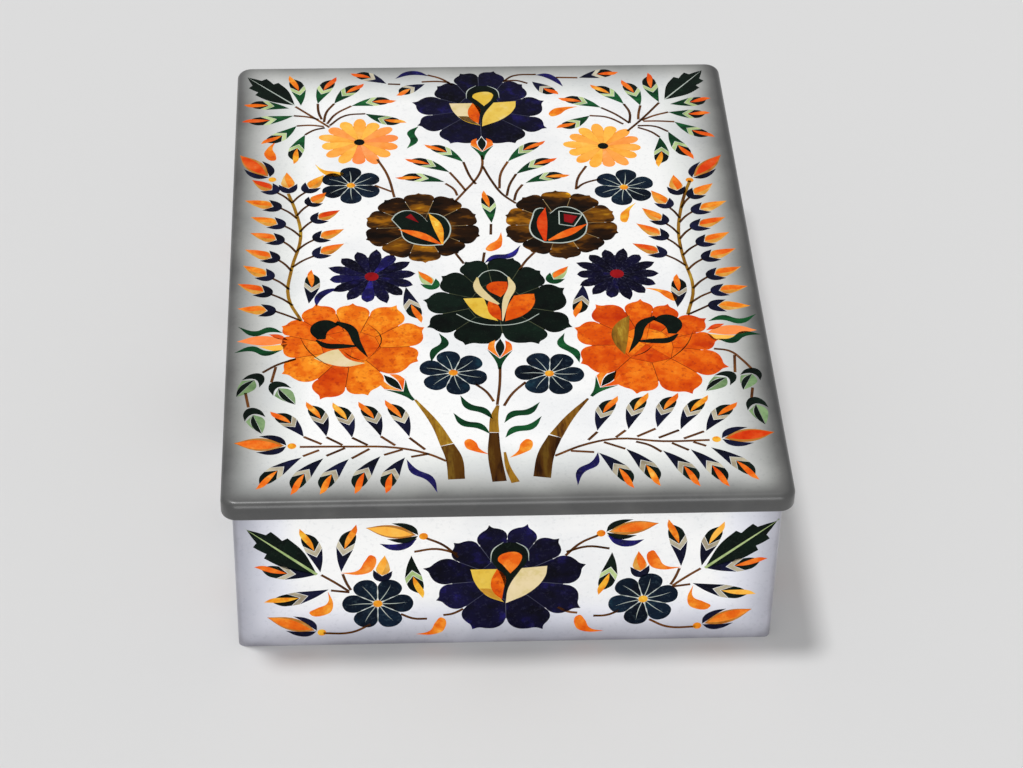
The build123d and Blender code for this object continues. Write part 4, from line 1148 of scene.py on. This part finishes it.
# Rosy flames between the green curls, at the outer side of each orange rose: kind, tint and outline
# on the right, and how much higher they lie on each side.
sideFlames = {
    "lifts": {-1: 0.0, 1: 2.0},
    "stones": [
        ("sideFlames", 0.10, [
            (76.0, -36.6, 1), (70.0, -34.2), (64.0, -35.2), (61.4, -37.4, 1), (68.0, -38.6)]),
        ("tulipSparks", 0.05, [(66.8, -33.4, 1), (63.6, -33.6), (61.0, -36.4, 1), (64.4, -35.4)]),
        ("sideFlames", 0.90, [(70.0, -39.0, 1), (65.4, -38.6), (61.2, -38.0, 1), (63.4, -41.0)]),
    ],
}


def pointOnLine(spine, height):
    # Where a rising line of points passes a height.
    for (x0, y0), (x1, y1) in zip(spine, spine[1:]):
        if y0 <= height <= y1:
            return (x0 + (x1 - x0) * (height - y0) / (y1 - y0), height)
    return spine[-1] if height > spine[-1][1] else spine[0]


def drawTwig(base):
    # A twig from the foot of a spray bud down to its stalk, where it isn't there already.
    spine = sprayStems["spines"][0 if base[0] < 0 else 1]
    foot = pointOnLine(spine, base[1] - twigSettings["drop"])
    if abs(foot[0] - base[0]) > twigSettings["shortest"]:
        bend = ((base[0] + foot[0]) / 2, base[1] - twigSettings["sag"])
        stem("lid", [base, bend, foot], twigSettings["width"], twigSettings["tint"])


def drawLidSprigs():
    for base, tip in cornerLeaves["places"]:
        toothedLeaf("lid", cornerLeaves["kind"], cornerLeaves["vein"], base, tip, cornerLeaves["width"])
    for group in (fanBuds, crownBuds, navyBuds, rowBuds):
        for base, tip, lean, tint in group["places"]:
            leafyBud("lid", group["kinds"], base, tip, group["width"], lean, tint)
    for base, tip, tint in rosebuds["places"]:
        sprayBud("lid", rosebuds["kinds"], base, tip, rosebuds["width"], tint)
    for base, tip, tint in sprayBuds["places"]:
        sprayBud("lid", sprayBuds["kinds"], base, tip, sprayBuds["width"], tint)
        drawTwig(base)
    for base, tip in hangingLeaves["places"]:
        hangingLeaf("lid", hangingLeaves["kinds"], base, tip, hangingLeaves["width"])
    for base, tip, width, tint in tulips["places"]:
        tulip("lid", tulips["kinds"], base, tip, width, tint)
    for curls in (greenCurls, blueCurls):
        for spine in curls["spines"]:
            curl("lid", curls["kind"], spine, curls["width"], curls["tint"])
    for tail, head, width, bend, tint in lidCommas["places"]:
        comma("lid", lidCommas["kind"], tail, head, width, bend, tint)
    for spine, widths, tint in trunks["places"]:
        ribbon("lid", trunks["kind"], spine, widths, tint)
    for spine in lidStems["spines"]:
        stem("lid", spine, lidStems["width"])
    for spine in sprayStems["spines"]:
        stem("lid", spine, sprayStems["width"], sprayStems["tint"], sprayStems["kind"])
    for side, lift in sideFlames["lifts"].items():
        for kind, tint, outline in sideFlames["stones"]:
            cutStone("lid", kind, [(side * p[0], p[1] + lift) + tuple(p[2:]) for p in outline], tint)


# Daisies have one petal for each tint. A place is a centre, a radius, a turn in radians, and the
# least and the most that the tints are spread between.
peachDaisies = {
    "kinds": ("peachDaisyPetals", "blackEyes", "peachBeds"),
    "eyeRadius": 1.7,
    "eyeTint": 0.2,
    "pointed": False,
    "tints": (0.1, 0.35, 0.9, 0.6, 0.95, 0.3, 0.8, 1.0, 0.55, 0.9, 0.12, 0.2, 0.7, 0.45),
    "places": [((-39.6, 64.0), 12.6, 0.2, 0.0, 1.0), ((37.6, 60.4), 12.1, 0.35, 0.35, 1.0)],
}
blueDaisies = {
    "kinds": ("blueDaisyPetals", "redEyes", "greyBeds"),
    "eyeRadius": 2.1,
    "eyeTint": 0.5,
    "pointed": True,
    "tints": (0.4, 0.2, 0.9, 0.3, 0.5, 0.1, 0.6, 0.8, 0.2, 0.4, 0.85, 0.3, 0.2, 0.5),
    "places": [((-36.5, -6.3), 13.2, 0.1, 0.0, 1.0), ((37.0, -6.5), 12.6, 0.0, 0.0, 0.4)],
}
# Centre, radius and turn in degrees.
lidBlossoms = [
    ((-42.4, 40.6), 9.5, 90), ((42.5, 37.9), 9.4, 80),
    ((-13.6, -52.3), 9.8, 40), ((14.0, -53.3), 9.8, 55),
]
topRose = {
    "kinds": ("topRosePetals", "roseDarks", "greyBeds"),
    "centre": (-0.8, 82.0),
    "heartShare": 0.52,
    "shoulders": roseShoulders,
    "tips": [
        (20.4, 86.4), (13.8, 96.0), (4.8, 104.0), (-6.4, 102.8), (-14.2, 95.4), (-22.6, 86.2),
        (-21.2, 73.0), (-10.8, 62.6), (9.9, 62.4), (20.6, 70.6),
    ],
    "valleys": [
        (12.9, 87.4), (7.4, 97.0), (-0.5, 100.6), (-7.6, 96.2), (-13.2, 88.0), (-15.9, 78.8),
        (-13.3, 70.4), (-0.8, 66.6), (12.6, 70.0), (15.2, 77.4),
    ],
}
centreRose = {
    "kinds": ("centreRosePetals", "jadeInners", "oliveBeds"),
    "centre": (0.4, -20.0),
    "heartShare": 0.52,
    "shoulders": roseShoulders,
    "tips": [
        (20.9, -13.0), (14.2, -4.4), (6.3, 2.2), (-8.4, 0.6), (-15.8, -6.4), (-21.6, -18.0),
        (-20.8, -31.2), (-9.8, -39.8), (11.8, -39.8), (22.2, -32.0),
    ],
    "valleys": [
        (13.2, -12.6), (7.8, -3.4), (-1.8, -1.0), (-9.0, -6.0), (-13.6, -15.0), (-15.8, -24.8),
        (-12.2, -32.6), (1.4, -34.4), (13.8, -33.0), (17.0, -24.4),
    ],
}
leftRose = {
    "kinds": ("sideRosePetals", "sideRoseInners", "brownBeds"),
    "centre": (-42.6, -40.6),
    "heartShare": 0.50,
    "shoulders": roseShoulders,
    "tints": (0.95, 1.0, 0.90, 0.60, 0.45, 0.65, 0.90, 0.15, 1.0, 0.90),
    "tips": [
        (-21.2, -31.0), (-29.2, -20.2), (-42.2, -19.0), (-53.2, -19.2), (-63.2, -29.6), (-63.4, -38.2),
        (-62.9, -51.7), (-51.9, -63.6), (-38.1, -62.1), (-23.4, -46.9),
    ],
    "valleys": [
        (-29.0, -30.3), (-37.4, -25.4), (-47.1, -24.2), (-56.6, -27.4), (-60.8, -34.3), (-59.0, -44.6),
        (-52.4, -54.2), (-44.5, -58.2), (-34.6, -51.4), (-25.8, -40.0),
    ],
}
rightRose = {
    "kinds": ("sideRosePetals", "sideRoseInners", "brownBeds"),
    "centre": (42.8, -40.6),
    "heartShare": 0.50,
    "shoulders": roseShoulders,
    "tints": (0.3, 0.4, 0.25, 0.2, 0.45, 0.15, 0.35, 0.3, 0.5, 0.4),
    "tips": [
        (66.2, -51.6), (64.4, -38.8), (61.8, -28.6), (51.0, -21.4), (43.0, -18.8), (29.4, -21.2),
        (22.4, -32.2), (23.2, -49.0), (38.4, -63.2), (54.4, -63.6),
    ],
    "valleyShare": 0.74,
}
carnations = {
    "kinds": ("carnationPetals", "tigerInners", "tanBeds"),
    "heartShare": 0.52,
    "shoulders": carnationShoulders,
    "tints": (0.5, 0.2, 0.85, 0.3, 0.95, 0.25, 0.6, 0.9, 0.3, 0.2),
    "valleyShare": 0.76,
    "turn": 20,  # of the first petal, degrees
    "unevenness": 0.03,
    "places": [((-20.9, 18.4), 18.0), ((21.6, 19.1), 17.8)],
}
# Bud-like cups under the flowers, where their stalks start: foot, top and width.
calyxes = [
    ((-25.2, -64.4), (-33.6, -52.8), 7.4), ((25.4, -63.8), (33.4, -52.6), 7.4),
    ((-0.2, -51.0), (0.6, -36.8), 7.2), ((-0.8, 53.6), (-0.8, 66.2), 7.2),
]


def drawLidFlowers():
    for daisies in (peachDaisies, blueDaisies):
        for centre, radius, turn, least, most in daisies["places"]:
            tints = [least + (most - least) * tint for tint in daisies["tints"]]
            daisy("lid", daisies, centre, radius, turn, tints)
    for centre, radius, turn in lidBlossoms:
        blossom("lid", centre, radius, math.radians(turn))
    roseFlower("lid", topRose)
    roseHeart("lid", topRose["centre"], "roseCreams", "roseYellows", "roseYellows")
    roseFlower("lid", centreRose)
    drawCentreHeart()
    roseFlower("lid", leftRose)
    roseFlower("lid", rightRose)
    drawSideHeart(1, (0.0, 0.0))
    drawSideHeart(-1, (-0.4, 0.4))
    count = len(carnations["tints"])
    for centre, radius in carnations["places"]:
        tips = []
        for k in range(count):
            reach = radius * (1 + carnations["unevenness"] * math.sin(3 * k))
            tips.append(around(centre, reach, math.radians(carnations["turn"] + 360 / count * k)))
        roseFlower("lid", {**carnations, "centre": centre, "tips": tips})
    drawCarnationHearts()
    for foot, top, width in calyxes:
        drawCalyx("lid", foot, top, width)


def drawCentreHeart():
    # Yellow and orange folds under two cream loops, with fine white lines round them.
    for kind, tint, level, outline in (
        ("roseYellows", 0.5, 1, [
            (-9.5, -17.6, 1), (-3.4, -17.4, 1), (-2.3, -22.5), (0.4, -28.6, 1), (-5.0, -26.1),
            (-7.9, -21.6)]),
        ("roseOranges", 0.3, 1, [
            (5.6, -16.6, 1), (8.8, -15.9), (11.6, -15.8, 1), (11.5, -20.3), (8.2, -25.7), (2.4, -28.8, 1),
            (3.4, -22.0)]),
        ("roseOranges", 0.35, 2, [
            (-1.8, -18.0, 1), (0.8, -21.4), (1.4, -28.4, 1), (-1.2, -26.4), (-2.5, -22.5)]),
        ("roseOranges", 0.3, 2, [
            (-2.4, -12.6), (-1.4, -10.4), (0.8, -9.6), (3.9, -9.8, 1), (3.8, -13.4), (1.6, -17.2, 1)]),
    ):
        cutStone("lid", kind, outline, tint, level)
    for kind, tint, level, spine, widths in (
        ("loopCreams", 0.3, 3, [(-4.9, -7.4), (-5.2, -11.6), (-3.0, -16.4), (0.9, -20.6)],
         [0.5, 2.3, 2.5, 0.7]),
        ("loopCreams", 0.5, 3, [(4.3, -7.4), (5.2, -12.0), (3.2, -18.4), (1.7, -28.6)],
         [0.5, 2.2, 2.0, 0.3]),
        ("whiteLines", 0.1, 3, [(-4.8, -7.6), (-2.4, -4.6), (1.2, -4.2), (4.3, -7.4)], [0.3] * 4),
        ("whiteLines", 0.1, 2, [
            (-11.8, -25.0), (-6.4, -29.2), (0.6, -30.6), (7.4, -29.4), (12.6, -25.4)], [0.3] * 5),
    ):
        ribbon("lid", kind, spine, widths, tint, level)


def drawSideHeart(side, move):
    # A dark loop with a round head, and in it a pale slip, or on the right side of the lid an olive
    # one. The outlines are the left rose's.
    def place(points):
        return [(side * p[0] + move[0], p[1] + move[1]) + tuple(p[2:]) for p in points]

    head = [(-49.8, -27.0), (-53.6, -28.6), (-54.7, -32.4), (-52.6, -36.2, 1), (-50.2, -36.0, 1),
            (-49.6, -32.6), (-46.2, -29.4, 1)]
    cutStone("lid", "sideRoseLoops", place(head), 0.3, 1)
    for spine, widths in (
        ([(-47.2, -28.2), (-43.2, -31.0), (-40.9, -38.4), (-37.8, -45.2)], [1.6, 2.9, 2.2, 0.0]),
        ([(-53.0, -36.4), (-50.2, -39.0), (-46.0, -39.4), (-41.4, -39.4)], [0.6, 2.3, 2.2, 0.8]),
    ):
        ribbon("lid", "sideRoseLoops", place(spine), widths, 0.3, 1)
    if side > 0:
        slip = [(-53.6, -44.8, 1), (-48.8, -41.4), (-46.6, -40.8, 1), (-43.4, -45.6), (-38.8, -47.4, 1),
                (-44.5, -48.8), (-50.7, -46.8)]
        cutStone("lid", "sideRoseSlips", place(slip), 0.6, 1)
    else:
        slip = [(-39.6, -27.2, 1), (-36.2, -30.0), (-33.8, -34.6), (-34.2, -40.4), (-36.8, -45.6, 1),
                (-37.9, -40.2), (-38.8, -34.4)]
        cutStone("lid", "oliveSlips", place(slip), 0.8, 2)
    for spine in ([(-38.6, -28.0), (-34.0, -36.0), (-37.4, -45.0)],
                  [(-58.0, -34.0), (-54.8, -42.0), (-47.0, -50.6)],
                  [(-45.6, -41.0), (-42.6, -44.6), (-38.6, -46.6)]):
        ribbon("lid", "sideRoseSeams", place(spine), [0.0, 0.35, 0.0], 0.2, 1)


# Dark hearts with a pale rim, each with two long flames and a red slip. A flame is its spine, its
# widths and its tint.
carnationHearts = [
    {
        "outline": [
            (-14.7, 9.0, 1), (-12.3, 14.4), (-12.5, 20.6), (-15.2, 24.6), (-18.6, 25.6, 1),
            (-19.0, 21.0, 1), (-21.6, 25.2), (-25.3, 27.1), (-28.6, 25.4), (-30.2, 22.4, 1),
            (-27.6, 17.6, 1), (-26.0, 11.6), (-21.0, 8.9),
        ],
        "flames": [
            ([(-18.7, 25.4), (-16.3, 19.4), (-14.8, 9.4)], [0.0, 2.8, 0.6], 0.95),
            ([(-28.2, 17.3), (-21.6, 14.2), (-15.2, 9.4)], [0.0, 3.0, 0.5], 0.4),
        ],
        "slip": [(-25.8, 23.4, 1), (-24.1, 25.2, 1), (-21.8, 20.6, 1)],
        "slipFrame": [],
    },
    {
        "outline": [
            (16.0, 9.6, 1), (12.4, 13.6), (12.8, 22.0), (15.8, 27.6), (18.6, 24.6, 1), (22.4, 28.0),
            (27.4, 26.2), (29.6, 21.6), (30.0, 18.8, 1), (28.4, 13.0), (23.2, 9.4),
        ],
        "flames": [
            ([(17.4, 27.6), (16.0, 20.0), (16.4, 10.4)], [0.0, 3.2, 0.8], 0.05),
            ([(30.0, 19.0), (23.6, 14.4), (17.4, 10.6)], [0.0, 3.0, 0.6], 0.35),
        ],
        "slip": [(22.9, 24.2, 1), (27.0, 22.9, 1), (25.2, 19.2, 1), (22.8, 20.2, 1)],
        "slipFrame": [(21.5, 25.7), (28.6, 23.8), (25.7, 17.7), (21.2, 18.8)],
    },
]


def drawCarnationHearts():
    for heart in carnationHearts:
        rim = heart["outline"]
        cutStone("lid", "heartRims", rim, 0.4, 1)
        x, y = sum(p[0] for p in rim) / len(rim), sum(p[1] for p in rim) / len(rim)
        inner = [(x + 0.955 * (p[0] - x), y + 0.955 * (p[1] - y)) + tuple(p[2:]) for p in rim]
        cutStone("lid", "roseDrops", inner, 0.4, 2)
        for spine, widths, tint in heart["flames"]:
            ribbon("lid", "roseFlames", spine, widths, tint, 3)
        cutStone("lid", "redSlips", heart["slip"], 0.3, 3)
        frameCorners = heart["slipFrame"]
        for first, last in zip(frameCorners, frameCorners[1:] + frameCorners[:1]):
            ribbon("lid", "heartRims", [first, last], [0.35, 0.35], 0.4, 3)


# The walls' drawing, in mm: x right of a wall's middle and y above the floor. All but the rose is
# drawn for the right side and mirrored for the left. On the long walls the same groups of flowers
# are moved apart, the outer group by the whole spread and the inner one by a share of it.
wallSettings = {
    "spreads": {"front": 0.0, "back": 0.0, "left": 22.5, "right": 22.5},
    "innerShare": 0.55,
    "drift": 1.2,  # both sides lie this much right of the wall's middle
    "budWidth": 4.8,
    "sprayWidth": 5.4,
    "tulipWidth": 7.0,
    "curlWidth": 2.2,
    "stemWidth": 0.8,
}
wallRose = {
    "kinds": ("rosePetals", "roseDarks", "greyBeds"),
    "centre": (-0.6, 24.4),
    "heartShare": 0.52,
    "shoulders": roseShoulders,
    "tips": [
        (22.2, 29.6), (14.4, 39.6), (5.4, 45.2), (-5.4, 45.0), (-15.2, 38.6), (-23.8, 29.0),
        (-20.0, 16.6), (-9.6, 5.0), (10.6, 4.6), (21.2, 12.6),
    ],
    "valleyShare": 0.71,
}
# Base, tip, lean and tint of the outer buds. Tail, head, width, bend, tint and group of the commas.
wallBuds = [
    ((53.4, 28.2), (58.6, 44.8), -1.4, 0.9), ((47.6, 28.2), (43.4, 46.0), 1.4, 0.6),
    ((54.3, 27.4), (71.8, 30.4), 1.2, 0.3), ((51.2, 21.6), (69.4, 16.8), 1.2, 0.95),
]
wallCommas = [
    ((47.8, 27.8), (39.0, 34.4), 3.9, 2.2, 0.45, "outer"),
    ((51.4, 20.8), (56.8, 12.4), 3.9, -2.2, 0.6, "outer"),
    ((26.8, 3.6), (19.4, 10.0), 3.8, 1.8, 0.5, "inner"),
]
wallCurl = [(26.4, 40.4), (29.4, 37.9), (33.2, 37.2), (36.8, 38.6)]
wallStems = {
    "outer": [
        [(53.2, 27.2), (49.4, 24.2), (45.6, 20.8)], [(47.2, 27.4), (46.2, 24.0), (45.0, 21.2)],
        [(50.6, 21.2), (45.4, 20.4)], [(39.6, 7.8), (45.0, 4.8), (53.0, 4.6)],
    ],
    "inner": [
        [(31.0, 11.6), (27.4, 9.8), (23.6, 9.6)], [(13.4, 13.2), (16.4, 11.4), (19.0, 10.9)],
        [(15.0, 33.0), (19.0, 37.6), (23.8, 40.4)], [(15.2, 34.4), (21.0, 36.3), (27.2, 35.4)],
    ],
}


def drawWallSide(panel, side, spread):
    look = wallSettings
    moves = {"rose": 0.0, "inner": side * spread * look["innerShare"], "outer": side * spread}

    def spot(point, group):
        return (side * point[0] + moves[group] + look["drift"], point[1])

    blossom(panel, spot((37.5, 15.8), "inner"), 9.8, math.radians(60 if side < 0 else 75))
    toothedLeaf(panel, "leaves", ("leafVeins", 0.9), spot((54.4, 27.4), "outer"),
                spot((74.0, 45.2), "outer"), 10.0)
    for base, tip, lean, tint in wallBuds:
        flames = "amberSlips" if side * tint > 0.85 else "budFlames"
        leafyBud(panel, ("budCups", "greyChevrons", "darkCores", flames), spot(base, "outer"),
                 spot(tip, "outer"), look["budWidth"], side * lean, tint)
    leafyBud(panel, ("jadeCups", "leafVeins", "darkCores", "budFlames"), spot((28.0, 34.0), "inner"),
             spot((25.0, 17.6), "inner"), look["budWidth"], side * -1.4, 0.95)
    bright, glow = ("amberSlips", 0.9) if side < 0 else ("sparks", 0.4)
    tulip(panel, ("budCups", "pearFlames", "sparks", "amberDiscs"), spot((54.6, 5.4), "outer"),
          spot((68.8, 11.2), "outer"), look["tulipWidth"], 0.5)
    tulip(panel, ("jadeCups", "pearFlames", bright, "amberDiscs"), spot((25.8, 41.4), "inner"),
          spot((40.6, 44.6), "inner"), look["tulipWidth"], glow)
    sprayBud(panel, ("budCups", "pearFlames", bright), spot((36.4, 24.4), "inner"),
             spot((35.4, 34.2), "inner"), look["sprayWidth"], glow)
    for tail, head, width, bend, tint, group in wallCommas:
        comma(panel, "budFlames", spot(tail, group), spot(head, group), width, side * bend, tint)
    curl(panel, "blueCurls", [spot(p, "inner") for p in wallCurl], look["curlWidth"], 0.9)
    for group, spines in wallStems.items():
        for spine in spines:
            if spread and group == "outer" and spine[-1][0] < 47:
                # Drawn out to the blossom, which lies further from this group on a long wall.
                spine = spine[:-1] + [(spine[-1][0] - spread * 0.45 + 4.0, spine[-1][1] - 1.6)]
            points = [spot(p, "rose" if p[0] < 16 else group) for p in spine]
            stem(panel, points, look["stemWidth"])


def drawWall(panel, spread):
    roseFlower(panel, wallRose)
    roseHeart(panel, (-0.7, 25.0), "roseYellows", "roseCreams", "budFlames")
    for side in (-1, 1):
        drawWallSide(panel, side, spread)


drawLidSprigs()
print("lid sprigs laid")
drawLidFlowers()
print("lid flowers laid")
for panel, spread in wallSettings["spreads"].items():
    drawWall(panel, spread)
print("walls laid")

# Each kind of stone: its finish, and the CAD node it stands for, which is named after its panel.
kindTable = {
    "cornerLeaves": ("darkJade", "corner_leaves"),
    "greenBudCups": ("malachite", "green_bud_cups"),
    "paleChevrons": ("paleJade", None),
    "darkCores": ("darkJade", None),
    "greenBudFlames": ("carnelian", "green_bud_flames"),
    "rowBudCups": ("navyAgate", "row_bud_cups"),
    "greyChevrons": ("greyAgate", None),
    "rowBudFlames": ("carnelian", "row_bud_flames"),
    "sprayBudCups": ("navyAgate", "spray_bud_cups"),
    "sprayBudFlames": ("honeyAgate", "spray_bud_flames"),
    "sprayBudSparks": ("carnelian", None),
    "yellowSlips": ("paleJade", None),
    "tulipSepals": ("navyAgate", "tulip_sepals"),
    "tulipFlames": ("honeyAgate", "tulip_flames"),
    "tulipSparks": ("carnelian", None),
    "amberDiscs": ("carnelian", None),
    "amberEyes": ("carnelian", None),
    "sideFlames": ("peachAgate", None),
    "leafVeins": ("paleJade", None),
    "sprayStems": ("trunkJasper", None),
    "hangingLeaves": ("darkJade", "hanging_leaves"),
    "paleHalves": ("mossJade", None),
    "jadeCups": ("darkJade", None),
    "oliveSlips": ("trunkJasper", None),
    "amberSlips": ("peachAgate", None),
    "commas": ("carnelian", "commas"),
    "greenCurls": ("malachite", "green_curls"),
    "blueCurls": ("lapis", "blue_curls"),
    "trunks": ("trunkJasper", "trunks"),
    "stems": ("stemJasper", None),
    "whiteLines": ("whiteLine", None),
    "peachDaisyPetals": ("peachAgate", "peach_daisy_petals"),
    "blackEyes": ("darkJade", "flower_eyes"),
    "redEyes": ("darkRedAgate", None),
    "blueDaisyPetals": ("lapis", "blue_daisy_petals"),
    "blossomPetals": ("blueJasper", "blossom_petals"),
    "topRosePetals": ("deepLapis", "top_rose_petals"),
    "roseDarks": ("navyAgate", None),
    "roseCreams": ("creamAgate", "rose_hearts"),
    "roseYellows": ("yellowAgate", "rose_centres"),
    "roseOranges": ("mottledCarnelian", None),
    "roseDrops": ("darkJade", None),
    "jadeInners": ("darkJade", None),
    "greyBeds": ("greyBed", None),
    "oliveBeds": ("oliveBed", None),
    "brownBeds": ("brownBed", None),
    "tanBeds": ("tanBed", None),
    "peachBeds": ("peachBed", None),
    "loopCreams": ("creamAgate", None),
    "centreRosePetals": ("darkJade", "centre_rose_petals"),
    "sideRosePetals": ("mottledCarnelian", "side_rose_petals"),
    "sideRoseInners": ("mottledCarnelian", "rose_flames"),
    "sideRoseLoops": ("darkJade", "side_rose_loops"),
    "sideRoseSlips": ("creamAgate", None),
    "sideRoseSeams": ("tigerEye", None),
    "carnationPetals": ("tigerEye", "carnation_petals"),
    "tigerInners": ("tigerEye", None),
    "heartRims": ("whiteLine", None),
    "roseFlames": ("carnelian", None),
    "redSlips": ("darkRedAgate", None),
    "rosePetals": ("deepLapis", "rose_petals"),
    "leaves": ("darkJade", "leaves"),
    "budCups": ("navyAgate", "bud_cups"),
    "budFlames": ("carnelian", "bud_flames"),
    "pearFlames": ("honeyAgate", None),
    "sparks": ("carnelian", None),
}
wallNodes = {"roseCreams": "hearts", "roseYellows": None, "blueCurls": None}
for (panel, kind), shape in shelves.items():
    finishName, node = kindTable[kind]
    if panel != "lid":
        node = wallNodes.get(kind, node)
    origin, across, up, out = [Vector(v) for v in panels[panel]]
    turn = Matrix((across, up, out)).transposed().to_4x4()
    bmesh.ops.transform(shape, matrix=Matrix.Translation(origin) @ turn, verts=shape.verts)
    nodes = [panel + "_" + node] if node else []
    finishPiece(panel + kind[0].upper() + kind[1:], shape, "lid" if panel == "lid" else "box",
                finishes[finishName], nodes, 0)
print("stones set:", len(shelves), "kinds")
